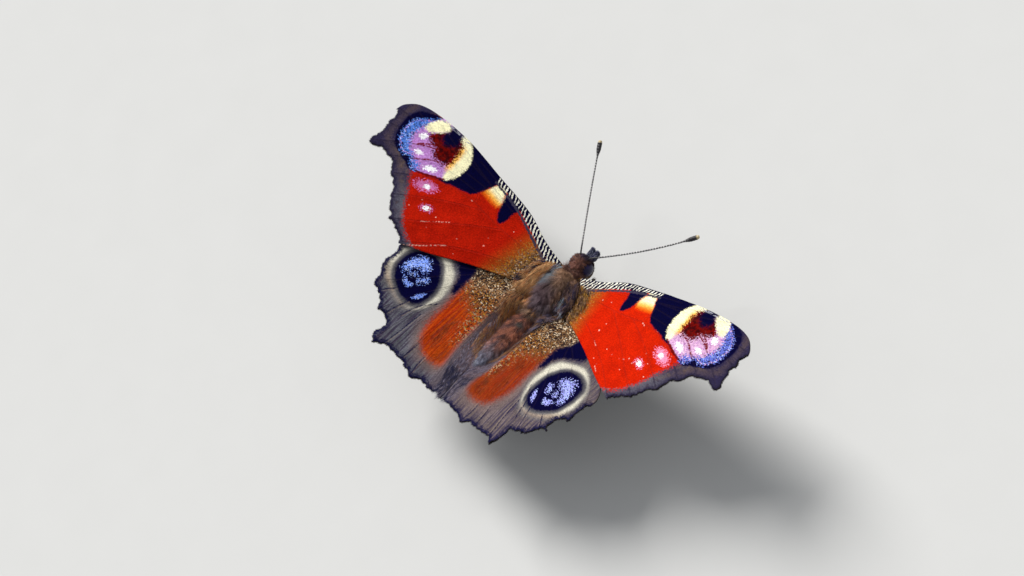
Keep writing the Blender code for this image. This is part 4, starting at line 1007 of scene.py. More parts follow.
def paint_zebra(paint, colour):
    """The striped leading edge of the fore wing, and the ashy streaks beyond it."""
    warp = paint.times(paint.noise(paint.flat, 1.5), 8.0)
    wave = paint.plus(paint.times("stripe", math.tau / ZEBRA_STEP), warp)
    blots = paint.times(paint.minus(paint.noise(paint.flat, 3.2, 1.0), 0.5), 2.2)
    bars = paint.plus(paint.math("SINE", wave), paint.frayed(blots, 0.3))
    zebra = paint.blend(paint.step(bars, 0.22, 0.55), "ink", "zebra_white")
    zebra = paint.blend(paint.step("costa", 0.12, 0.04), zebra, "ink")
    colour = paint.lay(colour, zebra, "zebra", 0.08, 0.12)
    streaks = paint.noise(paint.place("flat", (0.7, 3.0, 1.0)), 2.0)
    ashy = paint.times(paint.step("costa", 0.42, 0.28), paint.step("costa", 0.06, 0.14))
    ashy = paint.times(ashy, paint.step("far_costa", -0.2, 0.6))
    ashy = paint.times(ashy, paint.step(streaks, 0.44, 0.56))
    return paint.blend(ashy, colour, "costal_grey")


def paint_forewing(side):
    """Material of a fore wing's upper face."""
    paint = WingPainter("forewing_top_" + SIDE_NAMES[side])
    shade = paint.step(paint.noise(paint.flat, 0.55, 3.0), 0.35, 0.72)
    colour = paint.blend(shade, RED[side], RED_DEEP[side])
    spread = paint.frayed("base", 1.8)
    colour = paint.blend(paint.step("base", 1.2, 4.6), colour, "orange_brown")
    colour = paint.blend(paint.step(spread, 3.4, 5.6), colour, "olive")
    colour = paint.speckled(colour, paint.step(spread, 2.6, 4.4, 0.8), BASE_SPECKS[0])
    colour = paint.speckled(colour, paint.step(spread, 3.8, 6.2), *BASE_SPECKS)
    colour = paint.blend(paint.step(paint.coarse[3], 1 - FLECK_SHARE[side], 1.0), colour, "fleck")

    band = paint_fore_margin(paint, side)
    colour = paint.lay(colour, band, "margin", 0.45, 0.3)
    colour = paint.dusted(colour, band, "margin", 0.5)
    crossing = paint.times(paint.step("vein", 0.15, 0.03), paint.mask("margin", 0.3, 0.2))
    colour = paint.blend(paint.times(crossing, 0.6), colour, "rim")

    patch = paint.blend(paint.step("patch_glow", 1.0, 1.7), "orange", "gold")
    patch = paint.blend(paint.step("patch_glow", 1.5, 2.3), patch, "cream")
    patch = paint.blend(paint.step("patch_glow", 1.2, 0.55), patch, RED[side])
    lilac = paint.blend(paint.step(paint.third, 0.62, 0.68), LILAC[side], "violet")
    shade = paint.step(paint.noise(paint.flat, 1.6), 0.62, 0.42, 0.75)
    lilac = paint.blend(paint.plus(shade, 0.15), LILAC[side], lilac)
    blue = paint.blend(paint.step(paint.random, 0.86, 0.90), BLUE[side], "pale_blue")
    blue = paint.blend(paint.step(paint.third, 0.76, 0.80), blue, "ink")
    maroon = paint.blend(paint.step(paint.noise(paint.flat, 1.7, 3.0), 0.40, 0.62), "maroon", "maroon_dark")
    for add, tint, *marking in (
            (paint.lay, "ink", "wedge"), (paint.lay, patch, "cream_patch", 0.28, 0.3),
            (paint.lay, "ink", "black"), (paint.lay, "ink", "frame"), (paint.dusted, lilac, "disc", 0.12),
            (paint.dusted, blue, "blue", 0.42), (paint.lay, "cream", "cream_ring", 0.22, 0.2),
            (paint.dusted, "cream", "cream_ring", 0.22), (paint.lay, "gold", "gold", 0.40, 0.3),
            (paint.lay, maroon, "maroon", 0.24, 0.5), (paint.dusted, maroon, "maroon", 0.60, paint.third),
            (paint.lay, "cream", "cream_top", 0.20, 0.2), (paint.dusted, "cream", "cream_top", 0.24),
            (paint.lay, "ink", "core", 0.32, 0.40), (paint.lay, "maroon", "streak", 0.06, 0.10),
            (paint.dusted, "white", "spot_1", 0.16), (paint.dusted, "white", "spot_2", 0.16),
            (paint.dusted, "white", "spot_3", 0.16), (paint.dusted, PINK[side], "halo", 0.36),
            (paint.dusted, PINK[side], "small_halo", 0.36), (paint.dusted, "white", "spot_4", 0.14),
            (paint.dusted, "white", "spot_5", 0.14), (paint.lay, "fleck", "scratch", 0.04, 0.05),
            # last, the grey painted shade line behind the striped leading edge
            (paint.lay, "line_grey", "under_zebra", 0.06, 0.14)):
        colour = add(colour, tint, *marking)
    return finish_wing(paint, paint_zebra(paint, colour))


def finish_wing(paint, colour):
    """Veins, single scales and their relief, shared by all four wings."""
    veins = paint.step("vein", 0.16, 0.02)
    colour = paint.blend(paint.times(veins, 0.16), colour, "speck_dark")
    colour = paint.shaded(colour, paint.plus(paint.times(paint.random, 0.46), 0.77))
    height = paint.minus(paint.times(paint.random, 0.5), paint.relief)
    paint.bump(paint.plus(height, paint.times(veins, 1.2)), 0.045, 0.8)
    return paint.finish(colour)


def hind_fields(places, margin, side):
    """Every marking of the hind wing as a field, positive where it covers."""
    u, v = places.T
    fields = shape_fields(places - (HIND_SHIFT[side], 0.0), HIND_SHAPES)
    # A painted shade line along some veins, and a painted highlight line beside each
    fields["dark_line"] = LINE_HALF["dark_line"] - lines_distance(places, HIND_VEIN_SHADE_LINES)
    beside = lines_distance(places + VEIN_HIGHLIGHT_SHIFT, HIND_VEIN_SHADE_LINES)
    fields["pale_line"] = LINE_HALF["pale_line"] - beside
    fields["rim"] = np.clip(line_distance(places, margin), 0, FIELD_REACH)
    fields["outward"] = (u - 12.5 - HIND_SHIFT[side]) * 0.35 - (v + 12.9) * 0.9
    fields["beside_u"] = u - HIND_SHIFT[side]
    fields["rearward"] = -v
    return fields


def paint_hindwing(side):
    """Material of a hind wing's upper face."""
    paint = WingPainter("hindwing_top_" + SIDE_NAMES[side])
    grey = HIND_GREY[side]
    rays = paint.noise(paint.place("flat", (3.4, 0.16, 1.0)), 1.0, 4.0)
    shade = paint.step(paint.noise(paint.flat, 0.5, 4.0), 0.35, 0.65)
    colour = paint.blend(shade, grey, tuple(0.72 * value for value in grey))
    colour = paint.blend(paint.step(rays, 0.42, 0.62), colour, "margin")
    colour = paint.blend(paint.step("red", -2.0, -0.2), colour, "mauve")
    lines = paint.plus(rays, paint.times("beside_u", -0.035))
    rust = paint.blend(paint.step(lines, 0.24, 0.42), HIND_RED[side], HIND_ORANGE[side])
    rust = paint.blend(paint.step(rays, 0.42, 0.30, 0.35), rust, "brown")
    colour = paint.lay(colour, rust, "red", 0.65, 0.5)
    colour = paint.lay(colour, "olive", "speckle", 1.5, 1.2, 0.8)
    for field, soft, grain, *specks in HIND_SPECKS:
        colour = paint.speckled(colour, paint.mask(field, soft, grain), *specks)
    colour = paint.lay(colour, "slate", "inner", 0.7, 0.5)
    colour = paint.lay(colour, "brown", "beside", 0.7, 0.5)

    ring = paint.blend(paint.step("outward", 1.5, 3.6), "ring_cream", "ring_tan")
    ring = paint.blend(paint.step(paint.frayed("rearward", 1.0), 15.4, 17.2, 0.65), ring, grey)
    core = paint.times(paint.step("ring", -0.15, 0.55), paint.step("oval", -0.28, -0.80))
    ring = paint.blend(core, "ring_grey", ring)
    colour = paint.lay(colour, ring, "ring", 0.60, 0.35)
    colour = paint.lay(colour, "ink", "bar", 0.30, 0.35)
    colour = paint.blend(paint.step("oval", -0.75, 0.1, 0.75), colour, "ink")
    colour = paint.lay(colour, "ink", "oval", 0.14, 0.2)
    lit = paint.blend(paint.step(paint.third, 0.70, 0.76), HIND_BLUE[side], "pale_blue")
    lit = paint.blend(paint.step(paint.random, 0.80, 0.84), lit, "ink")
    for spot, reach in HIND_LIGHTS:
        colour = paint.dusted(colour, lit, spot, reach)

    # Painted highlight and painted shade on the two sides of the raised veins
    colour = paint.lay(colour, "ring_tan", "pale_line", 0.07, 0.1, 0.42)
    colour = paint.lay(colour, "navy", "dark_line", 0.07, 0.1)
    colour = paint.blend(paint.step(paint.frayed("rim", 0.50), 0.74, 0.10), colour, "navy")
    return finish_wing(paint, colour)


def paint_underside(name):
    """The bark-like underside: near black, with fine wavy lines."""
    paint = Painter(name, roughness=0.8, specular=0.2)
    flat = paint.place("flat")
    wave = paint.plus(paint.times("across", 9.0), paint.times(paint.noise(flat, 0.5, 4.0), 16.0))
    colour = paint.blend(paint.step(paint.math("SINE", wave), -0.5, 0.8), "under_dark", "under")
    cloud = paint.step(paint.noise(flat, 0.22, 3.0), 0.45, 0.7, 0.6)
    colour = paint.blend(cloud, colour, "under_pale")
    colour = paint.blend(paint.step("vein", 0.14, 0.02), colour, "under_dark")
    relief, random, _, _ = paint.cells(paint.place("flat", SCALE_GRID))
    paint.bump(paint.minus(paint.times(random, 0.5), relief), 0.04, 0.8)
    return paint.finish(colour)


def wing_bake_places(places, box, under):
    """Bake places of the upper or the under face, side by side in one square."""
    low, high = box
    placed = (places - low) / (float((high - low).max()) * 1.04)
    axis = 1 if high[0] - low[0] > high[1] - low[1] else 0
    placed[:, axis] = placed[:, axis] * 0.98 + (0.5 if under else 0.01)
    return placed


def build_wing(kind, side):
    """One wing: a thin closed membrane with raised veins and its painted faces."""
    name = kind + "_" + SIDE_NAMES[side]
    outline, margin, veins = wing_outline(kind, side)
    places, triangles = flat_net(outline, veins)
    ridges = lines_distance(places, veins, 0.5)
    ridge = VEIN_RIDGE * ease(1 - ridges / VEIN_WIDTH)
    pleat = PLEAT_DEPTH * np.cos(np.clip(ridges, 0, PLEAT_HALF) * math.pi / PLEAT_HALF)
    ripple = (lattice_noise(places, 1.6, 31 + side) - 0.5) * RIPPLE_DEPTH
    top = wing_points(kind, side, places, MEMBRANE_HALF + ridge + pleat + ripple)
    under = wing_points(kind, side, places, -MEMBRANE_HALF - 0.6 * ridge + pleat + ripple)
    count = len(places)
    start, end = open_sides(triangles).T
    rim = np.vstack([np.column_stack([end, start, start + count]),
                     np.column_stack([end, start + count, end + count])])
    faces = np.vstack([triangles, triangles[:, ::-1] + count, rim])
    if side == RIGHT:
        faces = faces[:, ::-1]
    mesh = new_mesh(name + "_skin", np.vstack([top, under]), faces)
    fields = (fore_fields if kind == "forewing" else hind_fields)(places, margin, side)
    fields["vein"] = np.clip(ridges, 0, 1.0)
    fields["across"] = places @ np.array((0.85, -0.5))
    for field, values in fields.items():
        set_field(mesh, field, np.concatenate([values, values]))
    flat = np.column_stack([places, np.zeros(count)])
    set_vector(mesh, "flat", np.vstack([flat, flat + (0, 0, 1)]))
    box = (places.min(axis=0), places.max(axis=0))
    both = np.vstack([wing_bake_places(places, box, False), wing_bake_places(places, box, True)])
    set_bake_map(mesh, both[faces.ravel()])
    paint = paint_forewing if kind == "forewing" else paint_hindwing
    add_piece(name + "_skin", mesh, (paint(side), paint_underside(name + "_under")), (name,))
    slots = np.zeros(len(faces), np.int32)
    slots[len(triangles):] = 1
    mesh.polygons.foreach_set("material_index", slots)


def tube_faces(rings, sides):
    """Triangles of a closed tube of points ring by ring, then its first and its last point."""
    faces = []
    for ring in range(rings - 1):
        for index in range(sides):
            low = ring * sides + index
            after = ring * sides + (index + 1) % sides
            faces += [(low, after, after + sides), (low, after + sides, low + sides)]
    first = rings * sides
    tail = first - sides
    for index in range(sides):
        after = (index + 1) % sides
        faces += [(first, after, index), (first + 1, tail + index, tail + after)]
    return np.array(faces)


def sweep(points, radii, sides, flatten=1.0):
    """Points and triangles of a closed tube along a path."""
    points = np.asarray(points, float)
    ahead = unit(np.gradient(points, axis=0))
    across = np.cross(ahead[0], (0.0, 0.0, 1.0))
    if np.linalg.norm(across) < 0.2:
        across = np.cross(ahead[0], (1.0, 0.0, 0.0))
    angles = np.arange(sides) * math.tau / sides
    rings = []
    for centre, direction, radius in zip(points, ahead, radii):
        across = unit(across - direction * (across @ direction))
        over = np.cross(direction, across)
        ring = np.outer(np.cos(angles), across) + np.outer(np.sin(angles) * flatten, over)
        rings.append(centre + ring * radius)
    return np.vstack(rings + [points[:1], points[-1:]]), tube_faces(len(points), sides)


def joined(parts):
    """Several skins as one list of vertices and one of triangles."""
    vertices = []
    faces = []
    count = 0
    for points, triangles in parts:
        vertices.append(points)
        faces.append(np.asarray(triangles) + count)
        count += len(points)
    return np.vstack(vertices), np.vstack(faces)


def bezier(points, steps):
    """A quadratic through three points, the middle one met half way."""
    start, middle, end = (np.array(point, float) for point in points)
    control = middle * 2 - (start + end) / 2
    t = np.linspace(0, 1, steps + 1)[:, None]
    return start * (1 - t) ** 2 + control * 2 * t * (1 - t) + end * t * t


def resample(points, step):
    """Points at even distances along a path."""
    points = np.asarray(points, float)
    lengths = np.concatenate([[0], np.cumsum(np.linalg.norm(np.diff(points, axis=0), axis=1))])
    wanted = np.linspace(0, lengths[-1], max(2, round(lengths[-1] / step) + 1))
    return np.column_stack([np.interp(wanted, lengths, points[:, axis]) for axis in range(3)]), wanted


def body_skin_points(y, angle):
    """Points of the skin at stations y and angles from the left side towards the back."""
    rows = np.array([smooth_rows(BODY_PROFILE, station) for station in np.atleast_1d(y)])
    depth = np.interp(y, *np.transpose(COAT_DEPTH))
    half_width = rows[:, 0] - depth
    half_height = (rows[:, 1] - rows[:, 2]) / 2 - depth
    centre = (rows[:, 1] + rows[:, 2]) / 2
    bulge = np.abs(np.sin(math.pi * (y - SEGMENTS_FROM) / SEGMENT_LENGTH)) ** 0.4
    ringed = y > SEGMENTS_FROM + 0.4
    swell = 1 + np.where(ringed, SEGMENT_GROOVE * bulge, 0.0) - SEGMENT_GROOVE * ringed
    power = 2 / BODY_ROUNDNESS
    across = np.sign(np.cos(angle)) * np.abs(np.cos(angle)) ** power
    up = np.sign(np.sin(angle)) * np.abs(np.sin(angle)) ** power
    return np.column_stack([half_width * across * swell, y, centre + half_height * up * swell])


def body_skin_normals(y, angle):
    step = 0.02
    along = body_skin_points(y + step, angle) - body_skin_points(y - step, angle)
    around = body_skin_points(y, angle + step) - body_skin_points(y, angle - step)
    return unit(np.cross(along, around))


def patched(colour, places, patches, share=1.0):
    """Ovals of colour seen from above, full in the middle and falling off to their edge."""
    for centre, reach, tint in patches:
        across = (places[:, 0] - centre[0]) / reach[0]
        along = (places[:, 1] - centre[1]) / reach[1]
        colour = mix(colour, tint, ease((1 - np.hypot(across, along)) * 2) * share)
    return colour


def banded(colour, y, band):
    """A soft band of colour round the body: its station, half length, strength and tint."""
    station, reach, strength, tint = band
    return mix(colour, tint, ease(1 - np.abs(y - station) / reach) * strength)


def body_tint(y, angle, places):
    """Colour of the body's skin and coat: brown, olive and slate in the places the photograph shows, with a
    painted sheen on the left shoulder, painted shade on the right side and a painted shade band at the
    waist.
    """
    up = np.sin(angle)
    blotch = lattice_noise(places, 0.9, 5)
    fine = lattice_noise(places, 0.3, 6)
    colour = mix(*THORAX_TINTS, ease((blotch - 0.25) / 0.5))
    # The patches include a painted sheen on the left shoulder and painted shade on the right side
    colour = patched(colour, places, BODY_PATCHES, 0.55 + 0.45 * blotch)
    head = ease((0.0 - y) / 0.8)
    colour = mix(colour, mix(*HEAD_TINTS, fine), head)
    face = ease((-2.2 - y) / 0.5) + ease((np.abs(places[:, 0]) - 0.75) / 0.35) * head
    colour = mix(colour, FACE_TINT, np.clip(face, 0, 1) * 0.85)
    colour = banded(banded(colour, y, COLLAR_BAND), y, LOIN_BAND)
    abdomen = ease((y - 6.5) / 0.7)
    rear = ease((y - 10.5) / 4.5)
    barbs = 0.5 + 0.5 * np.sin(9.0 * (y - 1.6 * np.abs(places[:, 0])) + 4.0 * blotch)
    flank = mix(mix(*FLANK_TINTS, rear), mix(*BARB_TINTS, rear), barbs)
    back = mix(*BACK_TINTS, ease((fine - 0.32) / 0.36))
    middle = ease((up - 0.35) / 0.45)
    colour = mix(colour, mix(flank, back, middle * (1 - 0.95 * rear)), abdomen)
    # Painted shade in the crease at the waist, then the small patches on the abdomen
    colour = patched(banded(colour, y, WAIST_SHADE_BAND), places, ABDOMEN_PATCHES)
    return mix(colour, BELLY_TINT, ease((-0.2 - up) / 0.5))


def hair_material(name, roughness=0.55):
    """Hair and skin that carry their colour as a field, broken by fine noise."""
    paint = Painter(name, roughness=roughness, specular=0.15)
    grain = paint.noise(paint.place("along"), 6.0, 3.0)
    paint.bump(grain, 0.03, 0.6)
    light = paint.plus(paint.times(grain, 0.7), 0.62)
    return paint.finish(paint.shaded(paint.field("tint", "Color"), light))


def build_body_skin():
    """One skin for head, thorax and abdomen."""
    first = BODY_PROFILE[0][0]
    last = BODY_PROFILE[-1][0]
    y = np.repeat(np.linspace(first + 0.02, last - 0.02, BODY_RINGS), BODY_SIDES)
    angle = np.tile(np.arange(BODY_SIDES) * math.tau / BODY_SIDES, BODY_RINGS)
    points = body_skin_points(y, angle)
    ends = np.array([points[:BODY_SIDES].mean(axis=0), points[-BODY_SIDES:].mean(axis=0)])
    ends[:, 1] += (-0.12, 0.12)
    points = np.vstack([points, ends])
    y = np.concatenate([y, ends[:, 1]])
    angle = np.concatenate([angle, [math.pi / 2, math.pi / 2]])
    faces = tube_faces(BODY_RINGS, BODY_SIDES)
    mesh = new_mesh("body_skin", points, faces)
    set_tint(mesh, body_tint(y, angle, points) * 0.55)
    set_vector(mesh, "along", points * (2.0, 0.5, 2.0))
    corners = faces.ravel()
    around = ((angle[corners] / math.tau) % 1.0).reshape(-1, 3)
    wraps = (around.max(axis=1) - around.min(axis=1)) > 0.5
    around[wraps] = np.where(around[wraps] < 0.5, around[wraps] + 1.0, around[wraps])
    length = (y[corners] - first) / (last - first)
    set_bake_map(mesh, np.column_stack([around.ravel() / (1 + 1 / BODY_SIDES), length]))
    material = hair_material("skin_hairy", 0.75)
    add_piece("body_skin", mesh, (material,), ("head", "thorax", "abdomen"))


def tuft_pattern(parts):
    """Triangles of one hair: a three-sided tube of some parts, closed at the root and pointed."""
    pattern = [(0, 2, 1)]
    for low in range((parts - 1) * 3):
        after = low + 1 if low % 3 < 2 else low - 2
        pattern += [(low, after, after + 3), (low, after + 3, low + 3)]
    top = (parts - 1) * 3
    for corner in range(3):
        pattern.append((top + corner, top + (corner + 1) % 3, top + 3))
    return np.array(pattern)[:, ::-1]


def build_tufts(name, roots, normals, lies, lengths, widths, lifts, tints, bake, parts=2):
    """Tapered closed hairs that lie along the body; each is a small patch of the bake map."""
    normals = unit(normals)
    lies = unit(lies - normals * np.sum(lies * normals, axis=1)[:, None])
    sideways = np.cross(normals, lies)
    centre = roots - normals * ROOT_DEPTH
    blocks = []
    for part in range(parts):
        share = 0.85 if part else 1.0
        for corner in range(3):
            turn = math.tau * corner / 3 + math.pi / 6
            offset = sideways * math.cos(turn) + normals * (0.55 * math.sin(turn))
            blocks.append(centre + offset * (widths * share / 2)[:, None])
        angle = lifts * (1 - 0.75 * part / max(parts - 1, 1))
        heading = lies * np.cos(angle)[:, None] + normals * np.sin(angle)[:, None]
        centre = centre + heading * (lengths / parts)[:, None]
    blocks.append(centre)
    per_hair = len(blocks)
    vertices = np.stack(blocks, axis=1).reshape(-1, 3)
    faces = (np.arange(len(roots))[:, None, None] * per_hair + tuft_pattern(parts)[None]).reshape(-1, 3)
    mesh = skin_mesh(name, vertices, faces)
    shade = np.linspace(*TUFT_SHADE, per_hair)
    set_tint(mesh, (tints[:, None, :] * shade[None, :, None]).reshape(-1, 3))
    angles = np.arange(per_hair) * math.tau / per_hair
    patch = np.column_stack([np.cos(angles), np.sin(angles)]) * TUFT_PATCH
    spots = (bake[:, None, :] + patch[None]).reshape(-1, 2)
    set_bake_map(mesh, spots[faces.ravel()])
    add_piece(name, mesh, (hair_material(name + "_hair"),))


def body_bake(y, angle):
    length = (y - BODY_PROFILE[0][0]) / (BODY_PROFILE[-1][0] - BODY_PROFILE[0][0])
    return np.column_stack([(angle / math.tau) % 1.0 / (1 + 1 / BODY_SIDES), length])


def clumped(roots, lies, lengths, size, pull, seed):
    """Hair directions that lean together in clumps of about this size, and a random value for each clump."""
    warp = np.column_stack([lattice_noise(roots, size * 1.5, seed + axis) for axis in range(3)])
    keys = np.floor((roots + warp * size * 1.4) / size).astype(int)
    clump = np.unique(keys, axis=0, return_inverse=True)[1].reshape(-1)
    members = np.bincount(clump)
    middle = np.column_stack([np.bincount(clump, roots[:, axis]) for axis in range(3)]) / members[:, None]
    heading = unit(np.column_stack([np.bincount(clump, lies[:, axis]) for axis in range(3)]))
    reach = np.bincount(clump, lengths) / members
    aim = unit((middle + heading * reach[:, None])[clump] - roots)
    random = np.random.default_rng(seed).uniform(0, 1, len(members))[clump]
    return unit(lies) * (1 - pull) + aim * pull, random


def build_body_coat(name, span, count, hair, seed, lie):
    """The coat of one stretch of the body; hair gives length, width, lift, clump size and pull."""
    length, width, lift, clump_size, pull = hair
    rng = np.random.default_rng(seed)
    y = rng.uniform(*span, count)
    lower = rng.uniform(0, 1, count) < UNDERSIDE_SHARE
    angle = rng.uniform(0, math.pi, count) + np.where(lower, math.pi, 0.0)
    points = body_skin_points(y, angle)
    clear = clear_of_eyes(points)
    y, angle, points = y[clear], angle[clear], points[clear]
    count = len(y)
    normals = body_skin_normals(y, angle)
    around = np.cross(normals, (0.0, 1.0, 0.0))
    swirl = lattice_noise(points, 0.8, seed) - 0.5
    lies = coat_lies(points, lie) + around * swirl[:, None] + rng.normal(0, 0.12, (count, 3))
    lengths = length * rng.uniform(0.6, 1.25, count)
    lies, random = clumped(points, lies, lengths, clump_size, pull, seed)
    widths = width * rng.uniform(0.7, 1.3, count)
    lifts = np.radians(lift) * rng.uniform(0.5, 1.4, count) * (0.6 + 0.8 * random)
    tone = COAT_LIGHT * rng.uniform(0.7, 1.35, count) * (0.68 + 0.64 * random)
    tints = body_tint(y, angle, points) * tone[:, None]
    build_tufts(name, points, normals, lies, lengths, widths, lifts, tints, body_bake(y, angle))


def coat_lies(points, lie):
    """Directions of a coat's hair: outwards with the distance from the midline, back and up."""
    width, limit, gain, back, up = lie
    outward = np.clip(points[:, 0] / width, -limit, limit) * gain
    return np.column_stack([outward, np.full(len(points), back), np.full(len(points), up)])


def clear_of_eyes(points):
    offset = np.column_stack([np.abs(points[:, :1]), points[:, 1:]]) - EYE_CENTRE
    return np.linalg.norm(offset, axis=1) > EYE_RADIUS * 1.04


def build_brow(side):
    """Hair that covers the inner part of an eye, so that only its outer part shows."""
    count, length, width, lift = BROW_HAIR
    rng = np.random.default_rng(521 + side)
    facing = unit(rng.normal(size=(count, 3)))
    edge = BROW_EDGE + 0.10 * (lattice_noise(facing, 0.3, 523) - 0.5)
    facing = facing[(facing[:, 0] < edge) & (facing[:, 0] > -0.55)]
    count = len(facing)
    roots = facing * EYE_SHAPE + EYE_CENTRE
    lies = facing * (-1.0, 0.0, 0.0) + (0.75, 0.10, 0.10)
    lengths = length * rng.uniform(0.5, 1.3, count)
    lies, random = clumped(roots, lies, lengths, 0.34, 0.6, 525)
    widths = width * rng.uniform(0.7, 1.3, count)
    lifts = np.radians(lift) * rng.uniform(0.4, 1.4, count)
    tone = rng.uniform(0.7, 1.3, count) * (0.6 + 0.8 * random)
    tints = mix(*BROW_TINTS, lattice_noise(roots, 0.4, 527)) * tone[:, None]
    lashes = ease((facing[:, 0] - BROW_EDGE + 0.22) / 0.2)
    tints = mix(tints, LASH_TINT, lashes * 0.8)
    mirror = (side, 1, 1)
    bake = 0.5 + 0.4 * facing[:, 1:]
    build_tufts("brow_" + SIDE_NAMES[side], roots * mirror, facing * mirror, lies * mirror, lengths, widths,
                lifts, tints, bake)


def scatter(outline, density, seed):
    """Random places inside an outline, density of them on each square millimetre."""
    rng = np.random.default_rng(seed)
    outline = smooth_curve(outline, 0.5, closed=True)
    low = outline.min(axis=0)
    high = outline.max(axis=0)
    count = int(np.prod(high - low) * density)
    places = rng.uniform(low, high, (count, 2))
    return places[region(places, outline) > 0]


def wing_hairs(name, kind, side, zones, seed):
    """Hairs on a wing's upper face, zone by zone."""
    rng = np.random.default_rng(seed)
    outline = wing_outline(kind, side)[0]
    gathered = []
    for index, zone in enumerate(zones):
        places = scatter(zone.outline, zone.density, seed + index)
        places = places[region(places, outline) > 0.05]
        count = len(places)
        swirl = (lattice_noise(places, 1.1, seed + index) - 0.5) * zone.swirl
        heading = math.radians(zone.heading) + swirl + rng.normal(0, 0.10, count)
        lengths = zone.length * rng.uniform(0.6, 1.3, count)
        widths = zone.width * rng.uniform(0.7, 1.3, count)
        lifts = np.radians(zone.lift) * rng.uniform(0.4, 1.5, count)
        gathered.append((places, heading, lengths, widths, lifts, np.full(count, index)))
    places, heading, lengths, widths, lifts, owner = (np.concatenate(column) for column in zip(*gathered))
    roots = wing_points(kind, side, places, MEMBRANE_HALF)

    def towards(offset):
        return wing_points(kind, side, places + offset, MEMBRANE_HALF) - roots

    lies = towards(np.column_stack([np.cos(heading), np.sin(heading)]) * HAIR_PROBE)
    pull = np.array([zone.pull for zone in zones])[owner]
    lies, random = clumped(roots, lies, lengths, 0.42, pull[:, None], seed)
    tints = np.zeros((len(places), 3))
    for index, zone in enumerate(zones):
        own = owner == index
        loose = rng.uniform(0, 1, len(places)) < zone.loose
        choice = np.where(loose, rng.uniform(0, 1, len(places)), random)
        colours = np.array([HAIR_COLOURS[name] for name in zone.colours.split()])
        picks = (choice * 0.9999 * len(colours)).astype(int)
        tints[own] = colours[picks[own]]
    tints = tints * rng.uniform(0.7, 1.4, len(places))[:, None]
    normals = np.cross(towards((0, HAIR_PROBE)), towards((HAIR_PROBE, 0))) * side
    bake = wing_bake_places(places, (outline.min(axis=0), outline.max(axis=0)), False)
    build_tufts(name, roots, normals, lies, lengths, widths, lifts, tints, bake)


def build_wing_hairs():
    """Hair over the bases of the wings and beside the abdomen."""
    for side in SIDES:
        fore = FORE_HAIRS[side]
        hind = HIND_HAIRS[:4] + (HIND_BASE_HAIR._replace(colours=HIND_BASE_COLOURS[side]),) + HIND_HAIRS[4:]
        wing_hairs("forewing_hair_" + SIDE_NAMES[side], "forewing", side, fore, 101 + side)
        wing_hairs("hindwing_hair_" + SIDE_NAMES[side], "hindwing", side, hind, 151 + side)


def build_fringe(kind, side):
    """Short scales that stand out from the outer margin."""
    margin = wing_outline(kind, side)[1]
    rng = np.random.default_rng(211 + side + (5 if kind == "hindwing" else 0))
    places = resample(np.column_stack([margin, np.zeros(len(margin))]), FRINGE_STEP)[0][:, :2]
    ahead = np.gradient(places, axis=0)
    outward = unit(np.column_stack([-ahead[:, 1], ahead[:, 0]]))
    places = places - outward * 0.08
    count = len(places)
    roots = wing_points(kind, side, places, 0.0)
    lies = unit(wing_points(kind, side, places + outward * 0.1, 0.0) - roots)
    normals = np.tile(wing_turn(kind, side)[0] @ (0.0, 0.0, 1.0), (count, 1))
    tints = np.array(FRINGE_TINTS)[rng.integers(0, len(FRINGE_TINTS), count)]
    lengths = FRINGE_LENGTH * rng.uniform(0.5, 1.3, count)
    widths = FRINGE_WIDTH * rng.uniform(0.7, 1.3, count)
    lifts = np.radians(rng.uniform(-8, 8, count))
    bake = wing_bake_places(places, (margin.min(axis=0), margin.max(axis=0)), False)
    build_tufts(kind + "_fringe_" + SIDE_NAMES[side], roots, normals, lies, lengths, widths, lifts, tints,
                bake)


def build_eye(side):
    """A compound eye: a dense dome with a facetted, glossy skin."""
    name = "eye_" + SIDE_NAMES[side]
    polar = np.linspace(0.02, math.pi * EYE_OPENING, EYE_RINGS)
    polar, turn = np.meshgrid(polar, np.arange(EYE_SIDES) * math.tau / EYE_SIDES, indexing="ij")
    dome = [side * np.cos(polar), np.sin(polar) * np.cos(turn), np.sin(polar) * np.sin(turn)]
    points = np.stack(dome, axis=-1).reshape(-1, 3) * EYE_SHAPE
    points = np.vstack([points, (side * EYE_RADIUS, 0, 0), points[-EYE_SIDES:].mean(axis=0)])
    faces = tube_faces(EYE_RINGS, EYE_SIDES)
    if side == LEFT:
        faces = faces[:, ::-1]
    centre = np.array(EYE_CENTRE) * (side, 1, 1)
    mesh = skin_mesh(name + "_dome", points + centre, faces, centre)
    paint = Painter(name + "_facets", roughness=0.30, specular=0.28)
    paint.shader.inputs["Coat Weight"].default_value = 0.08
    paint.shader.inputs["Coat Roughness"].default_value = 0.2
    place = paint.place("along")
    relief, random, _, _ = paint.cells(place, 26.0)
    colour = paint.blend(paint.step(paint.noise(place, 1.6), 0.4, 0.65), "eye_dark", "eye_violet")
    colour = paint.blend(paint.times(random, 0.35), colour, "eye_pale")
    paint.bump(paint.times(relief, -1.0), 0.03, 0.5)
    add_piece(name + "_dome", mesh, (paint.finish(colour),), (name,))


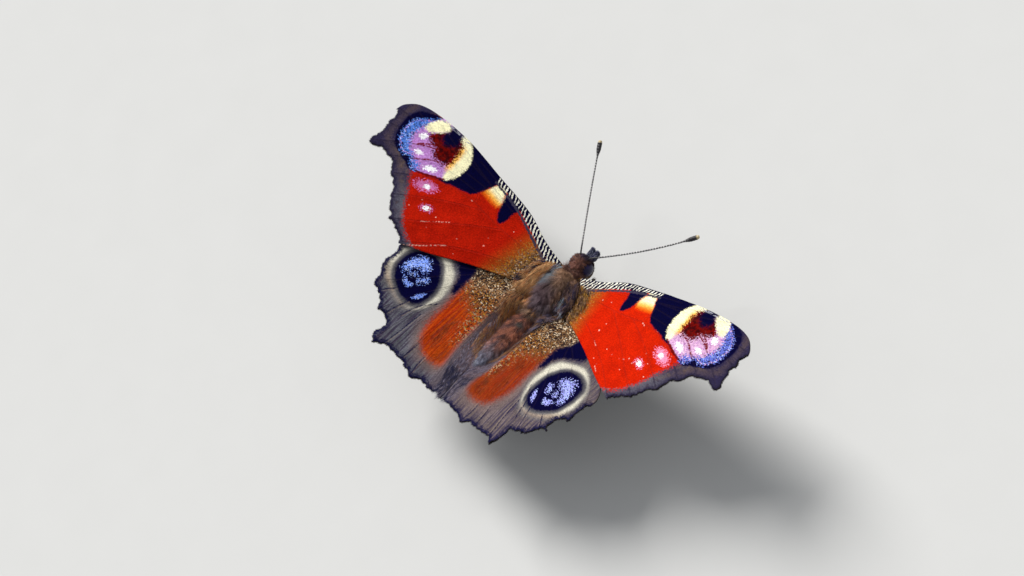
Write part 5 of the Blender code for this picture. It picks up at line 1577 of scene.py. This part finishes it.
def tube_hairs(name, path, radii, hair, tints, seed, taper=0.0):
    """Short hairs over a tube; hair gives their number, length, width and lift, and with a taper they grow
    shorter towards its end."""
    count, length, width, lift = hair
    rng = np.random.default_rng(seed)
    ahead = np.gradient(path, axis=0)
    share = rng.uniform(0.02, 0.98, count) * (len(path) - 1)
    low = np.clip(share.astype(int), 0, len(path) - 2)
    part = (share - low)[:, None]
    centre = path[low] * (1 - part) + path[low + 1] * part
    direction = unit(ahead[low])
    radius = np.interp(share, np.arange(len(path)), radii)
    spin = rng.normal(size=(count, 3))
    normal = unit(spin - direction * np.sum(spin * direction, axis=1)[:, None])
    around = np.arctan2(normal[:, 2], normal[:, 0]) / math.tau + 0.5
    picks = np.array(tints)[rng.integers(0, len(tints), count)] * rng.uniform(0.7, 1.4, count)[:, None]
    lengths = length * rng.uniform(0.6, 1.3, count) * (1 - taper * (share / (len(path) - 1)))
    widths = width * rng.uniform(0.7, 1.3, count)
    lifts = np.radians(lift) * rng.uniform(0.5, 1.4, count)
    bake = np.column_stack([around, share / len(path)])
    build_tufts(name, centre + normal * radius[:, None], normal, direction, lengths, widths, lifts, picks,
                bake)


def build_palp(side):
    """A palp: a furred snout that points forward beside the tongue."""
    name = "palp_" + SIDE_NAMES[side]
    path = bezier(np.array(PALP_PATH) * (side, 1, 1), 24)
    radii = np.interp(np.linspace(0, 1, 25), (0, 0.5, 1), PALP_RADII)
    points, faces = sweep(path, radii, 20, 1.2)
    mesh = skin_mesh(name + "_skin", points, faces)
    set_tint(mesh, np.tile(PALP_SKIN, (len(points), 1)))
    add_piece(name + "_skin", mesh, (hair_material(name + "_coat", 0.7),), (name,))
    tube_hairs(name + "_hair", path, radii, PALP_HAIR, PALP_TINTS, 301 + side, taper=0.50)


def build_proboscis():
    """The rolled tongue, ringed like a fine spring hose."""
    count = 220
    sides = 14
    share = np.linspace(0, 1, count)
    angle = math.radians(80) - math.tau * COIL_TURNS * share
    radius = COIL_RADIUS + (COIL_INNER - COIL_RADIUS) * share
    path = np.column_stack([np.zeros(count), np.cos(angle) * radius, np.sin(angle) * radius]) + COIL_CENTRE
    radii = COIL_THICKNESS * (1 - 0.35 * share) * (1 + 0.05 * np.sin(share * 420))
    radii[-6:] *= np.linspace(1, 0.3, 6)
    mesh = skin_mesh("proboscis_coil", *sweep(path, radii, sides))
    length = share * COIL_LENGTH
    set_field(mesh, "length", np.concatenate([np.repeat(length, sides), [0.0, COIL_LENGTH]]))
    paint = Painter("proboscis_horn", roughness=0.3, specular=0.5)
    rings = paint.math("SINE", paint.times("length", 60.0))
    colour = paint.blend(paint.step(rings, -0.4, 0.6), "horn_dark", "horn")
    paint.bump(rings, 0.02, 0.5)
    add_piece("proboscis_coil", mesh, (paint.finish(colour),), ("proboscis",))


def build_antenna(side):
    """A ringed shaft and its club, scaled dark with pale rings."""
    name = "antenna_" + SIDE_NAMES[side]
    root = np.array(ANTENNA_ROOT)
    bow = bezier((root + ANTENNA_LIFT, ANTENNA_MID[side], ANTENNA_TIP[side]), 40)
    path, along = resample(np.vstack([[root], bow]), 0.06)
    length = along[-1]
    club = np.clip((along / length - (1 - CLUB_SHARE)) / CLUB_SHARE, 0, 1)
    blunt = np.sqrt(np.clip(1 - ((club - 0.8) / 0.2) ** 2, 0.02, 1))
    swell = ease(club / 0.55) * np.where(club > 0.8, blunt, 1.0)
    ring = 0.010 * np.cos(math.tau * along / ANTENNA_RING)
    radii = ANTENNA_RADIUS + (CLUB_RADIUS - ANTENNA_RADIUS) * swell + ring
    radii = np.where(club >= 1, radii * 0.4, radii)
    sides = 14
    mesh = skin_mesh(name + "_shaft", *sweep(path * (side, 1, 1), radii, sides, 0.85))
    set_field(mesh, "length", np.concatenate([np.repeat(along, sides), [0.0, length]]))
    paint = Painter(name + "_rings", roughness=0.45, specular=0.4)
    wave = paint.math("COSINE", paint.times("length", math.tau / ANTENNA_RING))
    dust = paint.noise(paint.place("along"), 9.0)
    pale = paint.times(paint.step(wave, 0.25, 0.60), paint.step(dust, 0.38, 0.5))
    pale = paint.times(pale, paint.step("length", length * 0.93, length * 0.80))
    pale = paint.times(pale, paint.step("length", 1.2, 2.6))
    colour = paint.blend(paint.step(dust, 0.4, 0.7), "shaft_dark", "shaft")
    colour = paint.blend(pale, colour, "shaft_ring")
    colour = paint.blend(paint.step("length", length - 0.42, length - 0.22), colour, "club_tip")
    paint.bump(wave, 0.02, 0.4)
    add_piece(name + "_shaft", mesh, (paint.finish(colour),), (name,))


def rounded(corners, reach):
    """The corners joined by straight runs and rounded bends."""
    corners = [np.array(corner, float) for corner in corners]
    made = [corners[0]]
    for before, corner, after in zip(corners, corners[1:], corners[2:]):
        room = min(reach, np.linalg.norm(before - corner) / 2, np.linalg.norm(after - corner) / 2)
        entry = corner + unit(before - corner) * room
        leave = corner + unit(after - corner) * room
        for t in np.linspace(0, 1, 8):
            made.append(entry * (1 - t) ** 2 + corner * 2 * t * (1 - t) + leave * t * t)
    made.append(corners[-1])
    return np.array(made)


def leg_material(name):
    paint = Painter(name, roughness=0.6, specular=0.3, sheen=0.1)
    place = paint.place("along")
    relief, random, second, _ = paint.cells(place, 9.0)
    colour = paint.blend(paint.step(random, 0.3, 0.8), "leg_dark", "leg_brown")
    colour = paint.blend(paint.step(second, 0.8, 0.86, 0.8), colour, "leg_pale")
    colour = paint.blend(paint.step(paint.noise(place, 0.8), 0.5, 0.7), colour, "leg_grey")
    paint.bump(paint.times(relief, -1.0), 0.03, 0.7)
    return paint.finish(colour)


def spines_along(path, first, last, radius, length, thick):
    """Short spines in two rows under a stretch of the leg."""
    made = []
    total = len(path)
    for row, index in enumerate(range(int(first * total), int(last * total), 5)):
        ahead = unit(path[min(index + 1, total - 1)] - path[max(index - 1, 0)])
        aside = unit(np.cross(ahead, (0.0, 0.0, 1.0)))
        out = aside * (0.8 if row % 2 else -0.8) + np.cross(aside, ahead) * 0.35
        start = path[index] + out * radius * 0.6
        tip = start + (out * 0.8 + ahead) * length
        made.append(sweep(np.linspace(start, tip, 4), thick * np.array((1.0, 0.8, 0.5, 0.12)), 5))
    return made


def hip_of(leg):
    """Where a leg leaves the body, and the direction in which it does."""
    y = np.array([leg["y"]])
    angle = np.array([math.radians(leg["angle"])])
    return body_skin_points(y, angle)[0], body_skin_normals(y, angle)[0]


def build_walking_leg(pair, side):
    """Femur, tibia and tarsus of one leg, with spines, tarsal rings and two claws."""
    leg = WALKING_LEGS[pair]
    name = "leg_" + pair + "_" + SIDE_NAMES[side]
    hip, normal = hip_of(leg)
    start = hip - normal * HIP_DEPTH
    foot = FLOOR + FOOT_RADIUS
    ankle = np.array(leg["ankle"])
    toe = np.array((*leg["toe"], foot))
    heel = ankle * 0.78 + toe * 0.22
    heel[2] = foot
    corners = (start, start + normal * 1.2, leg["knee"], ankle, heel, toe)
    path, along = resample(rounded(corners, 0.9), LEG_STEP)
    total = along[-1]
    knee = along[np.argmin(np.linalg.norm(path - leg["knee"], axis=1))]
    joint = along[np.argmin(np.linalg.norm(path - ankle, axis=1))]
    radii = np.interp(along, (0, knee * 0.5, knee, knee + 0.5, joint - 0.4, joint, total), LEG_RADII)
    radii = radii + np.where(along > joint, 0.014 * np.cos(math.tau * (along - joint) / TARSAL_RING), 0.0)
    path = path * (side, 1, 1)
    parts = [sweep(path, radii, 16, 0.9)]
    parts += spines_along(path, knee / total + 0.03, joint / total, *TIBIA_SPINES)
    parts += spines_along(path, joint / total + 0.02, 0.97, *TARSUS_SPINES)
    ahead = unit(path[-1] - path[-3])
    aside = np.cross(ahead, (0.0, 0.0, 1.0))
    for turn in (-1, 1):
        claw = np.array([path[-1], path[-1] + ahead * 0.16 + aside * turn * 0.10,
                         path[-1] + ahead * 0.30 + aside * turn * 0.13 - (0, 0, 0.07)])
        parts.append(sweep(bezier(claw, 6), np.linspace(0.045, 0.012, 7), 6))
    points, faces = joined(parts)
    points[:, 2] = np.maximum(points[:, 2], FLOOR)
    mesh = skin_mesh(name + "_skin", points, faces)
    nodes = [name + "_femur", name + "_tibia", name + "_tarsus"]
    add_piece(name + "_skin", mesh, (leg_material(name + "_scales"),), nodes)
    upper = along < joint
    path, radii = path[upper], radii[upper]
    tube_hairs(name + "_hair", path, radii, LEG_HAIR, LEG_TINTS, 401 + side)


def build_brush_leg(side):
    """The short hairy foreleg folded under the thorax."""
    name = "leg_fore_" + SIDE_NAMES[side]
    hip, normal = hip_of(BRUSH_LEG)
    corners = (hip - normal * HIP_DEPTH, hip + normal * 0.6, BRUSH_LEG["knee"], BRUSH_LEG["toe"])
    path, along = resample(rounded(corners, 0.45), LEG_STEP)
    path = path * (side, 1, 1)
    radii = np.interp(along / along[-1], (0, 0.3, 0.85, 1), BRUSH_RADII)
    mesh = skin_mesh(name + "_skin", *sweep(path, radii, 14))
    add_piece(name + "_skin", mesh, (leg_material(name + "_scales"),), (name,))
    tube_hairs(name + "_hair", path, radii, BRUSH_HAIR, BRUSH_TINTS, 431 + side)


def set_floor():
    """A plain pale floor under the feet."""
    steps = 8
    reach = np.linspace(-FLOOR_HALF, FLOOR_HALF, steps + 1) * MM
    points = [(x, y, 0.0) for y in reach for x in reach]
    faces = []
    for low in range(steps * (steps + 1)):
        if (low + 1) % (steps + 1):
            faces.append((low, low + 1, low + steps + 2, low + steps + 1))
    mesh = bpy.data.meshes.new("floor")
    mesh.from_pydata(points, [], faces)
    floor = bpy.data.objects.new("floor", mesh)
    bpy.context.scene.collection.objects.link(floor)
    paint = Painter("floor_matt", roughness=0.9, specular=0.1)
    grain = paint.new("TexNoise", Scale=300.0)
    mesh.materials.append(paint.finish(paint.blend(grain.outputs["Fac"], "floor_dark", "floor_pale")))


def set_camera():
    right = Vector(CAMERA_RIGHT).normalized()
    up = Vector(CAMERA_UP).normalized()
    back = right.cross(up)
    place = (Vector(CAMERA_PLACE) + Vector(STANCE)) * MM
    data = bpy.data.cameras.new("camera")
    data.lens = CAMERA_LENS
    data.sensor_width = SENSOR_WIDTH
    data.clip_start = 0.01
    data.clip_end = 10.0
    camera = bpy.data.objects.new("camera", data)
    camera.matrix_world = Matrix.Translation(place) @ Matrix((right, up, back)).transposed().to_4x4()
    bpy.context.scene.collection.objects.link(camera)
    bpy.context.scene.camera = camera


def set_light():
    """A soft key from the insect's left, as the sun in the photograph, and an even pale sky."""
    data = bpy.data.lights.new("key", "SUN")
    data.energy = KEY_STRENGTH
    data.angle = math.radians(KEY_SPREAD)
    data.color = KEY_COLOUR
    key = bpy.data.objects.new("key", data)
    key.rotation_euler = Vector(KEY_DIRECTION).to_track_quat("Z", "Y").to_euler()
    bpy.context.scene.collection.objects.link(key)
    world = bpy.data.worlds.new("studio")
    world.use_nodes = True
    sky = world.node_tree.nodes["Background"]
    sky.inputs["Color"].default_value = SKY_COLOUR
    sky.inputs["Strength"].default_value = SKY_STRENGTH
    bpy.context.scene.world = world
    bpy.context.scene.view_settings.view_transform = "Standard"


def main():
    set_camera()
    set_light()
    set_floor()
    for side in SIDES:
        for kind in ("forewing", "hindwing"):
            build_wing(kind, side)
            build_fringe(kind, side)
        build_eye(side)
        build_palp(side)
        build_antenna(side)
        build_brush_leg(side)
        for pair in WALKING_LEGS:
            build_walking_leg(pair, side)
    build_proboscis()
    build_body_skin()
    for coat in COATS:
        build_body_coat(*coat)
    for side in SIDES:
        build_brow(side)
    build_wing_hairs()


main()
